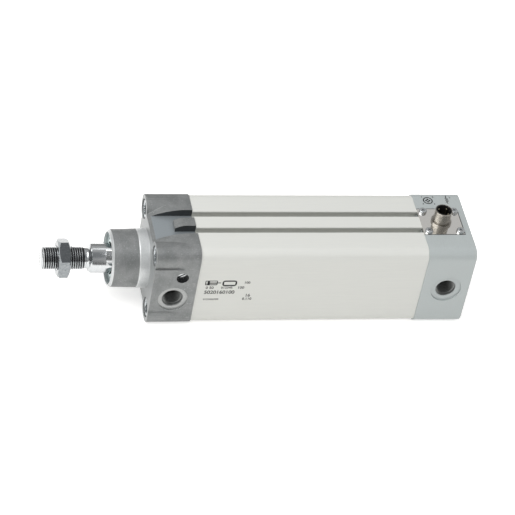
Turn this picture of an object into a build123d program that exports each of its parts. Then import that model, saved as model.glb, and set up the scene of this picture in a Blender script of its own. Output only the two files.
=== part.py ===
from build123d import *
import os
from math import sqrt

# Double acting profile cylinder with adjustable cushions and a position sensor in the rod.
# X runs along the cylinder: the rod leaves towards -X, and X = 0 is the front mounting face.
# +Z carries the connector, -Y carries the ports. All sizes are in millimetres.

# Main sizes
bore = 50.0
stroke = 100.0
rod_diameter = 20.0
bolt_spacing = 46.5
end_gap = 1.0  # piston to spigot at both ends of the stroke
seat_gap = 0.02  # radial gap of parts that seat in one another
slide_gap = 0.05  # radial gap of parts that slide in one another

# Caps and barrel
barrel_side = 64.0
cap_overhang = 0.5  # the caps stand proud of the barrel on every side
outline_corner = 7.5
front_cap_length = 30.0
rear_cap_length = 33.5
cap_edge_chamfer = 0.5
spigot_length = 7.0
spigot_gap = 0.1
rear_pilot_depth = 4.0

# Front cap casting
pillar_radius = 9.2  # round pillar about each screw
scoop_length = 24.0  # the sides curve inwards over this length
scoop_depth = 6.6  # at the front face
scoop_radius = 56.0
port_panel_height = 37.0
channel_width = 23.2  # recess in line with the two slots
channel_depth = 5.4
tongue_width = 8.0
tongue_start = 16.0
tongue_nose_drop = 2.4
tongue_nose_length = 8.0
boss_length = 25.3
boss_front_radius = 19.3
boss_rear_radius = 19.7
boss_chamfer = 1.2
pilot_diameter = 40.0
pilot_length = 6.8
pilot_chamfer = 0.5

# Front bearing and seals
bearing_wall = 1.75
bearing_length = 22.0
bearing_gap = 0.03
rod_seal_radius = 15.0
rod_seal_length = 9.0
rod_seal_lip_length = 1.6
rod_seal_lip_wall = 0.6
ring_radius = 17.4
ring_bore_radius = 11.0
ring_thickness = 2.4
ring_recess = 1.7
spanner_hole_radius = 0.9
spanner_circle_radius = 12.9
spanner_angle = 47.0

# Cushions
cushion_radius = 14.0
front_bush_length = 18.0
rear_bush_length = 14.0
bush_lead = 1.5
cavity_radius = 15.0
front_cavity_depth = 26.5  # from the spigot's end
rear_cavity_depth = 24.0
cushion_seal_radius = 18.0
cushion_seal_length = 3.6
cushion_seal_play = 0.4
cushion_seal_gap = 0.1
cavity_mouth_length = 1.5
cavity_mouth_radius = 15.5

# O-rings on the spigots
spigot_ring_cord = 1.8
spigot_ring_groove = 2.4
spigot_ring_setback = 4.6  # spigot's end to the groove's centre

# Ports
port_thread = 13.16
port_depth = 12.0
port_chamfer = 0.7
spotface_depth = 1.0
port_duct_radius = 4.0
front_spotface = 20.0
front_port_x = 15.1
front_port_z = -7.5
rear_spotface = 21.0
rear_port_setback = 16.3  # rear face to the port's centre
rear_port_z = 0.0

# Cushion needles, measured inwards along Y from the cap's side
needle_z = 11.3
front_needle_x = 19.4
rear_needle_setback = 22.0
needle_hole_radius = 4.2
needle_radius = 4.1
needle_sink = 3.0  # head below the cap's side
needle_thread_length = 6.0
needle_pitch = 0.75
needle_turns_in = 1.6
needle_neck_radius = 2.5
needle_neck_length = 1.7
needle_ring_cord = 1.5
needle_collar = 0.6
needle_stem_radius = 1.9
needle_stem_length = 3.5
needle_tip_radius = 0.4
needle_tip_length = 1.8
needle_slot_width = 1.2
needle_slot_depth = 1.6
needle_slot_turn = 30.0
needle_end_gap = 0.3
needle_tip_to_seat = 0.5
needle_guide_radius = 2.2
needle_seat_radius = 1.1
needle_duct_radius = 1.2
needle_duct_circle = 20.5

# Cap screws with a mounting thread in the head
screw_head_radius = 6.6
screw_head_length = 22.0
screw_head_sink = 0.6
screw_head_chamfer = 0.6
screw_head_gap = 0.25
mount_thread = 8.0
mount_thread_depth = 16.5
mount_thread_chamfer = 0.6
socket_across = 6.0
socket_depth = 3.5
screw_shank_radius = 4.0
screw_shank_length = 29.4
screw_clearance_radius = 4.4
screw_duct_gap = 0.4

# Sensor slots, two to a side
slot_spacing = 16.0
slot_mouth = 5.0
slot_width = 7.4
slot_lip = 1.4
slot_depth = 5.4
slotted_sides = (0, -90, 180)  # turns about X that bring the top to a slotted side

# Rod, its thread and its nut
rod_reach = 38.5  # front face to the rod's shoulder when retracted
rod_thread = 16.0
rod_thread_length = 32.0
rod_thread_chamfer = 1.2
undercut_length = 3.0
undercut_radius = 6.9
shoulder_chamfer = 1.2
flat_across = 17.0
flat_setback = 1.6  # behind the shoulder
flat_length = 9.3
flat_turn = 45.0
tail_radius = 8.0
tail_chamfer = 0.8
nut_across = 24.0
nut_thickness = 8.0
nut_face_radius = 11.4
nut_setback = 10.9  # rod's tip to the nut
nut_turn = 30.0
nut_thread_gap = 0.05
nut_bore_chamfer = 0.8

# Piston
piston_length = 40.0
piston_radius = 24.5
piston_land = 3.5
piston_seal_width = 5.4
piston_seal_floor = 20.3
piston_seal_play = 0.2
piston_seal_lip = 1.2
piston_chamfer = 0.5
guide_ring_length = 16.0
guide_ring_wall = 2.3
guide_ring_play = 0.1
magnet_length = 8.0
magnet_inner_radius = 19.0
stop_ring_inner = 19.5
stop_ring_outer = 22.5
stop_ring_depth = 1.4
stop_ring_proud = 0.6
rod_ring_cord = 1.6
rod_ring_groove = 2.2
piston_nut_across = 22.0
piston_nut_thickness = 6.0

# Position sensor along the axis
rod_bore_radius = 5.5
rod_bore_spare = 8.0  # rail's tip to the end of the rod's bore
carriage_seat_radius = 6.3
carriage_seat_depth = 12.0
carriage_length = 7.5
carriage_play = 0.2
carriage_ring_bore = 4.9
carriage_ring_thickness = 1.0
rail_gap = 0.1
rail_radius = 4.0
rail_bore_radius = 1.6
rail_flat = 3.0  # height of the flat that the strip lies on
rail_overrun = 8.0  # past the carriage when the rod is out
rail_sink = 6.0  # into the base
strip_width = 4.0
strip_thickness = 0.3
strip_setback = 1.5
contact_width = 3.2
contact_thickness = 0.2
contact_length = 5.0
contact_sink = 2.0
base_radius = 9.0
base_length = 8.0
base_ring_cord = 1.4
base_ring_groove = 1.9
base_ring_setback = 2.2
lead_radius = 0.4
lead_spacing = 1.5
lead_setback = 3.6  # base's front to the leads
lead_hole_radius = 2.2
lead_sink = 2.5
lead_proud = 0.6

# Connector plate and electronics in the rear cap's top
plate_length = 28.5
plate_width = 25.6
plate_thickness = 1.5
plate_corner = 0.6
plate_gap = 0.5
gasket_thickness = 0.5
pocket_length = 17.0
pocket_width = 20.0
pocket_setback = 6.4  # rear cap's front face to the pocket
pocket_floor = 19.0
board_ledge = 2.0
board_height = 23.4
board_thickness = 1.6
board_gap = 0.3
plate_screw_setback = 3.8
plate_screw_pitch_x = 22.1
plate_screw_pitch_y = 20.0
plate_screw_head_radius = 2.75
plate_screw_head_height = 1.8
plate_screw_dome = 0.8
plate_screw_radius = 1.5
plate_screw_length = 8.0
plate_screw_gap = 0.1

# Round M12 connector
connector_setback = 14.5  # rear cap's front face to the connector
connector_radius = 6.0
connector_height = 10.5
connector_chamfer = 0.3
connector_cavity_radius = 5.4
connector_flange_radius = 7.0
connector_flange_height = 1.4
connector_neck_radius = 5.4
connector_neck_length = 6.0  # below the plate's top
connector_neck_gap = 0.1
insert_neck_radius = 4.5
insert_step_rise = 0.3
insert_face_height = 3.5  # above the plate's top
connector_nut_across = 13.0
connector_nut_thickness = 2.4
pin_radius = 0.5
pin_circle_radius = 3.75
pin_count = 4
pin_turn = 45.0
pin_top_height = 9.3  # above the plate's top
insert_wall = 0.7
insert_rim_height = 10.4  # above the plate's top
key_width = 1.2
key_depth = 0.8
key_height = 9.8  # above the plate's top

# Stations along X that follow from the sizes above
cap_side = barrel_side + 2 * cap_overhang
cap_half = cap_side / 2
barrel_half = barrel_side / 2
bore_radius = bore / 2
rod_radius = rod_diameter / 2
barrel_front = front_cap_length
barrel_length = stroke + piston_length + 2 * (end_gap + spigot_length)
barrel_rear = barrel_front + barrel_length
body_rear = barrel_rear + rear_cap_length
front_spigot_end = barrel_front + spigot_length
rear_spigot_end = barrel_rear - spigot_length
front_cavity_floor = front_spigot_end - front_cavity_depth
rear_cavity_floor = rear_spigot_end + rear_cavity_depth
spigot_radius = bore_radius - spigot_gap
piston_rear = rear_spigot_end - end_gap
piston_front = piston_rear - piston_length
piston_middle = piston_rear - piston_length / 2
tail_front = piston_front - front_bush_length
rear_bush_end = piston_rear + rear_bush_length
tail_rear = rear_bush_end + piston_nut_thickness

# Front seals and bearing, from the boss mouth inwards
boss_face = -boss_length
ring_face = boss_face + ring_recess
ring_back = ring_face + ring_thickness
seal_back = ring_back + rod_seal_length
bearing_back = seal_back + bearing_length
bearing_radius = rod_radius + bearing_wall

# Screws
bolt_reach = bolt_spacing / 2
bolt_corners = [(y, z) for y in (-bolt_reach, bolt_reach) for z in (-bolt_reach, bolt_reach)]
counterbore_radius = screw_head_radius + screw_head_gap
counterbore_depth = screw_head_sink + screw_head_length
duct_radius = screw_shank_radius + screw_duct_gap
duct_depth = counterbore_depth + screw_shank_length

# Needle stations, as distances from the cylinder's axis
needle_head = cap_half - needle_sink
needle_thread_end = needle_head - needle_thread_length
needle_neck_end = needle_thread_end - needle_neck_length
needle_collar_end = needle_neck_end - needle_collar
needle_stem_end = needle_collar_end - needle_stem_length
needle_tip_end = needle_stem_end - needle_tip_length
needle_hole_end = needle_collar_end - needle_turns_in * needle_pitch - needle_end_gap
needle_seat = needle_tip_end - needle_tip_to_seat
needle_duct_y = sqrt(needle_duct_circle**2 - needle_z**2)
needle_ring_y = (needle_thread_end + needle_neck_end) / 2
needle_ring_radius = (needle_hole_radius + needle_neck_radius) / 2
rear_needle_x = body_rear - rear_needle_setback

# Sensor stations
carriage_front = tail_rear - carriage_seat_depth + carriage_play
rail_front = carriage_front - stroke - rail_overrun
rod_bore_front = rail_front - rod_bore_spare
base_rear = rear_cavity_floor + base_length
lead_x = rear_cavity_floor + lead_setback
contact_height = rail_flat + strip_thickness + rail_gap
base_ring_x = base_rear - base_ring_setback

# Plate stack on the rear cap's top
plate_bottom = cap_half - plate_thickness
gasket_bottom = plate_bottom - gasket_thickness
plate_x = barrel_rear + plate_length / 2
pocket_x = barrel_rear + pocket_setback + pocket_length / 2
connector_x = barrel_rear + connector_setback
plate_screw_x = barrel_rear + plate_screw_setback + plate_screw_pitch_x / 2
insert_face = cap_half + insert_face_height
insert_rim = cap_half + insert_rim_height
board_top = board_height + board_thickness

centre_up = (Align.CENTER, Align.MIN)

os.makedirs("parts", exist_ok=True)


def half_section(*points):
    """The closed half section of a piece turned about X, as (x, radius) points."""
    with BuildSketch(Plane.XZ) as section:
        with BuildLine():
            Polyline(*points, close=True)
        make_face()
    return section.sketch


def ring_section(x, radius, cord):
    """The section of an O-ring about X."""
    with BuildSketch(Plane.XZ) as section:
        with Locations((x, radius)):
            Circle(cord / 2 - seat_gap)
    return section.sketch


def bush_section(tip, root):
    """The half section of a cushion bush, with a lead at its tip."""
    lead = bush_lead if root > tip else -bush_lead
    return half_section(
        (tip, tail_radius + seat_gap),
        (tip, cushion_radius - abs(lead) / 2),
        (tip + lead, cushion_radius),
        (root, cushion_radius),
        (root, tail_radius + seat_gap),
    )


def nut_envelope(x, thickness, across, face_radius):
    """The turned outline that chamfers a hexagon's corners on both faces."""
    corner = across / sqrt(3)
    drop = (corner - face_radius) / sqrt(3)
    return half_section(
        (x, 0),
        (x, face_radius),
        (x + drop, corner),
        (x + thickness - drop, corner),
        (x + thickness, face_radius),
        (x + thickness, 0),
    )


def side_section(x, z, side, *points):
    """A half section turned about a line along Y, as (radius, distance from the cylinder's axis)."""
    with BuildSketch(Plane.XY.offset(z)) as section:
        with BuildLine():
            Polyline(*[(x + radius, side * reach) for radius, reach in points], close=True)
        make_face()
    return section.sketch


def top_section(x, *points):
    """A half section turned about the upright line at x, as (radius, height) points."""
    with BuildSketch(Plane.XZ) as section:
        with BuildLine():
            Polyline(*[(x + radius, height) for radius, height in points], close=True)
        make_face()
    return section.sketch


def side_axis(x, z):
    return Axis((x, 0, z), (0, 1, 0))


def port_section(x, z, spotface):
    """A port in the -Y side: spotface, mouth chamfer, thread wall and the duct to the cavity."""
    mouth = cap_half - spotface_depth
    wall = port_thread / 2
    duct_end = sqrt(cavity_radius**2 - (abs(z) + port_duct_radius) ** 2) - 1
    return side_section(
        x,
        z,
        -1,
        (0, cap_half + 1),
        (spotface / 2, cap_half + 1),
        (spotface / 2, mouth),
        (wall + port_chamfer, mouth),
        (wall, mouth - port_chamfer),
        (wall, mouth - port_chamfer - port_depth),
        (port_duct_radius, mouth - port_chamfer - port_depth),
        (port_duct_radius, duct_end),
        (0, duct_end),
    )


def needle_hole_section(x, side):
    """The stepped hole of a cushion needle, down to its seat and the cavity."""
    cavity_side = sqrt(cavity_radius**2 - needle_z**2) - 1
    return side_section(
        x,
        needle_z,
        side,
        (0, cap_half + 1),
        (needle_hole_radius, cap_half + 1),
        (needle_hole_radius, needle_hole_end),
        (needle_guide_radius, needle_hole_end),
        (needle_guide_radius, needle_seat),
        (needle_seat_radius, needle_seat),
        (needle_seat_radius, cavity_side),
        (0, cavity_side),
    )


def needle_section(x, side):
    """Cushion needle: threaded head, neck for the O-ring, collar, stem and cone."""
    return side_section(
        x,
        needle_z,
        side,
        (0, needle_head),
        (needle_radius, needle_head),
        (needle_radius, needle_thread_end),
        (needle_neck_radius, needle_thread_end),
        (needle_neck_radius, needle_neck_end),
        (needle_radius, needle_neck_end),
        (needle_radius, needle_collar_end),
        (needle_stem_radius, needle_collar_end),
        (needle_stem_radius, needle_stem_end),
        (needle_tip_radius, needle_tip_end),
        (0, needle_tip_end),
    )


# Shapes that are cut from several sides

with BuildPart() as side_scoop:
    # The space outside a large circle through the front edge and the end of the scoop
    half_chord = sqrt(scoop_length**2 + scoop_depth**2) / 2
    rise = sqrt(scoop_radius**2 - half_chord**2) / (2 * half_chord)
    scoop_centre = (scoop_length / 2 + rise * scoop_depth, cap_half - scoop_depth / 2 - rise * scoop_length)
    with BuildSketch(Plane.XZ):
        with Locations((scoop_centre[0], cap_half - scoop_depth - 1)):
            Rectangle(scoop_centre[0] + 1, cap_half, align=(Align.MAX, Align.MIN))
        with Locations(scoop_centre):
            Circle(scoop_radius, mode=Mode.SUBTRACT)
    extrude(amount=bolt_reach, both=True)

with BuildPart() as sensor_channel:
    # The recess in line with two slots, round a tongue whose nose falls towards the front
    with BuildSketch(Plane.XY.offset(cap_half - channel_depth)):
        with Locations((front_cap_length, 0)):
            Rectangle(front_cap_length + 1, channel_width, align=(Align.MAX, Align.CENTER))
    extrude(amount=channel_depth + 1)
    with BuildSketch(Plane.XZ):
        with BuildLine():
            nose_foot = (tongue_start, cap_half - channel_depth)
            nose_front = (tongue_start, cap_half - tongue_nose_drop)
            nose_top = (tongue_start + tongue_nose_length, cap_half)
            TangentArc(nose_top, nose_front, tangent=(-1, 0))
            Polyline(
                nose_front,
                nose_foot,
                (front_cap_length, cap_half - channel_depth),
                (front_cap_length, cap_side),
                (nose_top[0], cap_side),
                nose_top,
            )
        make_face()
    extrude(amount=tongue_width / 2, both=True, mode=Mode.SUBTRACT)

with BuildPart() as sensor_slots:
    # Two T-slots along the barrel's top face
    with BuildSketch(Plane.YZ.offset(barrel_front)):
        for y in (-slot_spacing / 2, slot_spacing / 2):
            with Locations((y, barrel_half + 1)):
                Rectangle(slot_mouth, slot_lip + 2, align=(Align.CENTER, Align.MAX))
            with Locations((y, barrel_half - slot_depth)):
                Rectangle(slot_width, slot_depth - slot_lip, align=centre_up)
    extrude(amount=barrel_length)


# Front end

with BuildPart() as front_cap:
    with BuildSketch(Plane.YZ):
        RectangleRounded(cap_side, cap_side, outline_corner)
    extrude(amount=front_cap_length)
    for turn in (0, 90, 180, 270):
        add(side_scoop.part, rotation=(turn, 0, 0), mode=Mode.SUBTRACT)
    for turn in slotted_sides:
        add(sensor_channel.part, rotation=(turn, 0, 0), mode=Mode.SUBTRACT)
    # A round pillar carries each screw, and a flat panel carries the port
    with BuildSketch(Plane.YZ):
        with GridLocations(bolt_spacing, bolt_spacing, 2, 2):
            Circle(pillar_radius)
    extrude(amount=front_cap_length)
    with BuildSketch(Plane.XZ.offset(cap_half)):
        Rectangle(front_cap_length, port_panel_height, align=(Align.MIN, Align.CENTER))
    extrude(amount=bore_radius - cap_half)
    # Boss with the machined pilot at its root, and the spigot that enters the barrel
    revolve(
        half_section(
            (boss_face, 0),
            (boss_face, boss_front_radius - boss_chamfer),
            (boss_face + boss_chamfer, boss_front_radius),
            (-pilot_length, boss_rear_radius),
            (-pilot_length + pilot_chamfer, pilot_diameter / 2),
            (0, pilot_diameter / 2),
            (1, 0),
        ),
        axis=Axis.X,
    )
    ring_groove = (spigot_ring_setback - spigot_ring_groove / 2, spigot_ring_setback + spigot_ring_groove / 2)
    revolve(
        half_section(
            (barrel_front - 1, 0),
            (barrel_front - 1, spigot_radius),
            (front_spigot_end - ring_groove[1], spigot_radius),
            (front_spigot_end - ring_groove[1], bore_radius - spigot_ring_cord),
            (front_spigot_end - ring_groove[0], bore_radius - spigot_ring_cord),
            (front_spigot_end - ring_groove[0], spigot_radius),
            (front_spigot_end, spigot_radius),
            (front_spigot_end, 0),
        ),
        axis=Axis.X,
    )
    # Seats of the wiper ring, rod seal, bearing and cushion seal
    seal_groove_end = front_spigot_end - cavity_mouth_length
    seal_groove_start = seal_groove_end - cushion_seal_length - cushion_seal_play
    revolve(
        half_section(
            (boss_face - 1, 0),
            (boss_face - 1, ring_radius),
            (ring_back, ring_radius),
            (ring_back, rod_seal_radius),
            (seal_back, rod_seal_radius),
            (seal_back, bearing_radius),
            (front_cavity_floor, bearing_radius),
            (front_cavity_floor, cavity_radius),
            (seal_groove_start, cavity_radius),
            (seal_groove_start, cushion_seal_radius),
            (seal_groove_end, cushion_seal_radius),
            (seal_groove_end, cavity_mouth_radius),
            (front_spigot_end + 1, cavity_mouth_radius),
            (front_spigot_end + 1, 0),
        ),
        axis=Axis.X,
        mode=Mode.SUBTRACT,
    )
    with Locations(*[Location((0, y, z), (0, -90, 0)) for y, z in bolt_corners]):
        CounterBoreHole(screw_clearance_radius, counterbore_radius, counterbore_depth, depth=barrel_front)
    revolve(
        port_section(front_port_x, front_port_z, front_spotface),
        axis=side_axis(front_port_x, front_port_z),
        mode=Mode.SUBTRACT,
    )
    revolve(
        needle_hole_section(front_needle_x, -1),
        axis=side_axis(front_needle_x, needle_z),
        mode=Mode.SUBTRACT,
    )
    with BuildSketch(Plane.YZ.offset(front_needle_x)):
        with Locations((-needle_duct_y, needle_z)):
            Circle(needle_duct_radius)
    extrude(amount=front_spigot_end - front_needle_x + 1, mode=Mode.SUBTRACT)
front_cap.part.label = "front_cap"
export_step(front_cap.part, "parts/front_cap.step")

with BuildPart() as rod_bearing:
    revolve(
        half_section(
            (seal_back, rod_radius + bearing_gap),
            (seal_back, bearing_radius - seat_gap),
            (bearing_back, bearing_radius - seat_gap),
            (bearing_back, rod_radius + bearing_gap),
        ),
        axis=Axis.X,
    )
rod_bearing.part.label = "rod_bearing"
export_step(rod_bearing.part, "parts/rod_bearing.step")

with BuildPart() as rod_wiper_seal:
    # Wiper lip through the ring's bore, sealing lip towards the cylinder
    lip_radius = rod_radius + slide_gap
    revolve(
        half_section(
            (ring_face + ring_thickness / 3, lip_radius),
            (ring_face + ring_thickness / 3, lip_radius + rod_seal_lip_wall / 2),
            (ring_back, lip_radius + rod_seal_lip_wall),
            (ring_back, rod_seal_radius - seat_gap),
            (seal_back, rod_seal_radius - seat_gap),
            (seal_back, lip_radius + 2 * rod_seal_lip_wall),
            (seal_back - rod_seal_lip_length, lip_radius + 3 * rod_seal_lip_wall),
            (seal_back - rod_seal_lip_length, lip_radius + rod_seal_lip_wall),
            (seal_back, lip_radius),
            (seal_back - 2 * rod_seal_lip_length, lip_radius + rod_seal_lip_wall / 2),
            (ring_back + rod_seal_lip_length, lip_radius + rod_seal_lip_wall / 2),
        ),
        axis=Axis.X,
    )
rod_wiper_seal.part.label = "rod_wiper_seal"
export_step(rod_wiper_seal.part, "parts/rod_wiper_seal.step")

with BuildPart() as wiper_retaining_ring:
    with BuildSketch(Plane.YZ.offset(ring_face)):
        Circle(ring_radius - seat_gap)
        Circle(ring_bore_radius, mode=Mode.SUBTRACT)
        with PolarLocations(spanner_circle_radius, 2, start_angle=spanner_angle):
            Circle(spanner_hole_radius, mode=Mode.SUBTRACT)
    extrude(amount=ring_thickness)
wiper_retaining_ring.part.label = "wiper_retaining_ring"
export_step(wiper_retaining_ring.part, "parts/wiper_retaining_ring.step")


# Barrel and the rear end

with BuildPart() as barrel:
    with BuildSketch(Plane.YZ.offset(barrel_front)):
        RectangleRounded(barrel_side, barrel_side, outline_corner)
        Circle(bore_radius, mode=Mode.SUBTRACT)
        with GridLocations(bolt_spacing, bolt_spacing, 2, 2):
            Circle(duct_radius, mode=Mode.SUBTRACT)
    extrude(amount=barrel_length)
    for turn in slotted_sides:
        add(sensor_slots.part, rotation=(turn, 0, 0), mode=Mode.SUBTRACT)
barrel.part.label = "barrel"
export_step(barrel.part, "parts/barrel.step")

with BuildPart() as rear_cap:
    with BuildSketch(Plane.YZ.offset(barrel_rear)):
        RectangleRounded(cap_side, cap_side, outline_corner)
    extrude(amount=rear_cap_length)
    chamfer(rear_cap.faces().sort_by(Axis.X)[-1].edges(), cap_edge_chamfer)
    revolve(
        half_section(
            (barrel_rear + 1, 0),
            (barrel_rear + 1, spigot_radius),
            (rear_spigot_end + ring_groove[1], spigot_radius),
            (rear_spigot_end + ring_groove[1], bore_radius - spigot_ring_cord),
            (rear_spigot_end + ring_groove[0], bore_radius - spigot_ring_cord),
            (rear_spigot_end + ring_groove[0], spigot_radius),
            (rear_spigot_end, spigot_radius),
            (rear_spigot_end, 0),
        ),
        axis=Axis.X,
    )
    rear_groove_start = rear_spigot_end + cavity_mouth_length
    rear_groove_end = rear_groove_start + cushion_seal_length + cushion_seal_play
    revolve(
        half_section(
            (rear_spigot_end - 1, 0),
            (rear_spigot_end - 1, cavity_mouth_radius),
            (rear_groove_start, cavity_mouth_radius),
            (rear_groove_start, cushion_seal_radius),
            (rear_groove_end, cushion_seal_radius),
            (rear_groove_end, cavity_radius),
            (rear_cavity_floor, cavity_radius),
            (rear_cavity_floor, base_radius + seat_gap),
            (base_rear, base_radius + seat_gap),
            (base_rear, 0),
        ),
        axis=Axis.X,
        mode=Mode.SUBTRACT,
    )
    # Centring recess of the rear mounting face
    with BuildSketch(Plane.YZ.offset(body_rear)):
        Circle(pilot_diameter / 2)
    extrude(amount=-rear_pilot_depth, mode=Mode.SUBTRACT)
    with Locations(*[Location((body_rear, y, z), (0, 90, 0)) for y, z in bolt_corners]):
        CounterBoreHole(screw_clearance_radius, counterbore_radius, counterbore_depth, depth=rear_cap_length)
    rear_port_x = body_rear - rear_port_setback
    revolve(
        port_section(rear_port_x, rear_port_z, rear_spotface),
        axis=side_axis(rear_port_x, rear_port_z),
        mode=Mode.SUBTRACT,
    )
    revolve(
        needle_hole_section(rear_needle_x, 1),
        axis=side_axis(rear_needle_x, needle_z),
        mode=Mode.SUBTRACT,
    )
    with BuildSketch(Plane.YZ.offset(rear_spigot_end - 1)):
        with Locations((needle_duct_y, needle_z)):
            Circle(needle_duct_radius)
    extrude(amount=rear_needle_x - rear_spigot_end + 1, mode=Mode.SUBTRACT)
    # Seat of the plate, pocket of the circuit board with a ledge on both sides, and the lead hole
    with BuildSketch(Plane.XY.offset(gasket_bottom)):
        with Locations((barrel_rear, 0)):
            Rectangle(plate_length + plate_gap, plate_width + 2 * plate_gap, align=(Align.MIN, Align.CENTER))
    extrude(amount=cap_half - gasket_bottom + 1, mode=Mode.SUBTRACT)
    with BuildSketch(Plane.XY.offset(board_height)):
        with Locations((pocket_x, 0)):
            Rectangle(pocket_length, pocket_width)
    extrude(amount=cap_half - board_height, mode=Mode.SUBTRACT)
    with BuildSketch(Plane.XY.offset(pocket_floor)):
        with Locations((pocket_x, 0)):
            Rectangle(pocket_length, pocket_width - 2 * board_ledge)
    extrude(amount=board_height - pocket_floor + 1, mode=Mode.SUBTRACT)
    with BuildSketch(Plane.XY):
        with Locations((lead_x, 0)):
            Circle(lead_hole_radius)
    extrude(amount=pocket_floor + 1, mode=Mode.SUBTRACT)
    with Locations((plate_screw_x, 0, gasket_bottom)):
        with GridLocations(plate_screw_pitch_x, plate_screw_pitch_y, 2, 2):
            Hole(plate_screw_radius + plate_screw_gap, depth=plate_screw_length)
rear_cap.part.label = "rear_cap"
export_step(rear_cap.part, "parts/rear_cap.step")


# Seals of the caps

with BuildPart() as front_cushion_seal:
    seal_start = seal_groove_start + cushion_seal_play / 2
    seal_bore = cushion_radius + slide_gap
    revolve(
        half_section(
            (seal_start, cavity_radius),
            (seal_start, cushion_seal_radius - cushion_seal_gap),
            (seal_start + cushion_seal_length, cushion_seal_radius - cushion_seal_gap),
            (seal_start + cushion_seal_length, cavity_radius),
            (seal_start + cushion_seal_length * 2 / 3, seal_bore),
            (seal_start + cushion_seal_length / 3, seal_bore),
        ),
        axis=Axis.X,
    )
front_cushion_seal.part.label = "front_cushion_seal"
export_step(front_cushion_seal.part, "parts/front_cushion_seal.step")

with BuildPart() as rear_cushion_seal:
    mirror(front_cushion_seal.part, about=Plane.YZ.offset(barrel_front + barrel_length / 2))
rear_cushion_seal.part.label = "rear_cushion_seal"
export_step(rear_cushion_seal.part, "parts/rear_cushion_seal.step")

with BuildPart() as front_barrel_o_ring:
    spigot_ring_x = front_spigot_end - spigot_ring_setback
    spigot_ring_radius = bore_radius - spigot_ring_cord / 2
    revolve(ring_section(spigot_ring_x, spigot_ring_radius, spigot_ring_cord), axis=Axis.X)
front_barrel_o_ring.part.label = "front_barrel_o_ring"
export_step(front_barrel_o_ring.part, "parts/front_barrel_o_ring.step")

with BuildPart() as rear_barrel_o_ring:
    mirror(front_barrel_o_ring.part, about=Plane.YZ.offset(barrel_front + barrel_length / 2))
rear_barrel_o_ring.part.label = "rear_barrel_o_ring"
export_step(rear_barrel_o_ring.part, "parts/rear_barrel_o_ring.step")


# Cushion needles and their O-rings

with BuildPart() as front_needle:
    revolve(needle_section(front_needle_x, -1), axis=side_axis(front_needle_x, needle_z))
    with BuildSketch(Plane.XZ.offset(needle_head)):
        with Locations((front_needle_x, needle_z)):
            Rectangle(3 * needle_radius, needle_slot_width, rotation=needle_slot_turn)
    extrude(amount=-needle_slot_depth, mode=Mode.SUBTRACT)
front_needle.part.label = "front_needle"
export_step(front_needle.part, "parts/front_needle.step")

with BuildPart() as rear_needle:
    revolve(needle_section(rear_needle_x, 1), axis=side_axis(rear_needle_x, needle_z))
    with BuildSketch(Plane.XZ.offset(-needle_head)):
        with Locations((rear_needle_x, needle_z)):
            Rectangle(3 * needle_radius, needle_slot_width, rotation=needle_slot_turn)
    extrude(amount=needle_slot_depth, mode=Mode.SUBTRACT)
rear_needle.part.label = "rear_needle"
export_step(rear_needle.part, "parts/rear_needle.step")

with BuildPart() as front_needle_o_ring:
    with BuildSketch(Plane.XY.offset(needle_z)):
        with Locations((front_needle_x + needle_ring_radius, -needle_ring_y)):
            Circle(needle_ring_cord / 2)
    revolve(axis=side_axis(front_needle_x, needle_z))
front_needle_o_ring.part.label = "front_needle_o_ring"
export_step(front_needle_o_ring.part, "parts/front_needle_o_ring.step")

with BuildPart() as rear_needle_o_ring:
    with BuildSketch(Plane.XY.offset(needle_z)):
        with Locations((rear_needle_x + needle_ring_radius, needle_ring_y)):
            Circle(needle_ring_cord / 2)
    revolve(axis=side_axis(rear_needle_x, needle_z))
rear_needle_o_ring.part.label = "rear_needle_o_ring"
export_step(rear_needle_o_ring.part, "parts/rear_needle_o_ring.step")


# Cap screws: long heads with a mounting thread, a hexagon socket below it

with BuildPart() as cap_screw:
    socket_start = screw_head_sink + mount_thread_depth
    revolve(
        half_section(
            (screw_head_sink, 0),
            (screw_head_sink, screw_head_radius - screw_head_chamfer),
            (screw_head_sink + screw_head_chamfer, screw_head_radius),
            (counterbore_depth, screw_head_radius),
            (counterbore_depth, screw_shank_radius),
            (duct_depth - screw_head_chamfer, screw_shank_radius),
            (duct_depth, screw_shank_radius - screw_head_chamfer),
            (duct_depth, 0),
        ),
        axis=Axis.X,
    )
    revolve(
        half_section(
            (screw_head_sink - 1, 0),
            (screw_head_sink - 1, mount_thread / 2 + mount_thread_chamfer),
            (screw_head_sink, mount_thread / 2 + mount_thread_chamfer),
            (screw_head_sink + mount_thread_chamfer, mount_thread / 2),
            (socket_start, mount_thread / 2),
            (socket_start, 0),
        ),
        axis=Axis.X,
        mode=Mode.SUBTRACT,
    )
    with BuildSketch(Plane.YZ.offset(socket_start)):
        RegularPolygon(socket_across / 2, 6, major_radius=False)
    extrude(amount=socket_depth, mode=Mode.SUBTRACT)

with BuildPart() as front_cap_screws:
    with Locations(*[(0, y, z) for y, z in bolt_corners]):
        add(cap_screw.part)
front_cap_screws.part.label = "front_cap_screws"
export_step(front_cap_screws.part, "parts/front_cap_screws.step")

with BuildPart() as rear_cap_screws:
    with Locations(*[(body_rear, y, z) for y, z in bolt_corners]):
        add(cap_screw.part, rotation=(0, 0, 180))
rear_cap_screws.part.label = "rear_cap_screws"
export_step(rear_cap_screws.part, "parts/rear_cap_screws.step")


# Rod and the nut on its thread

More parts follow.
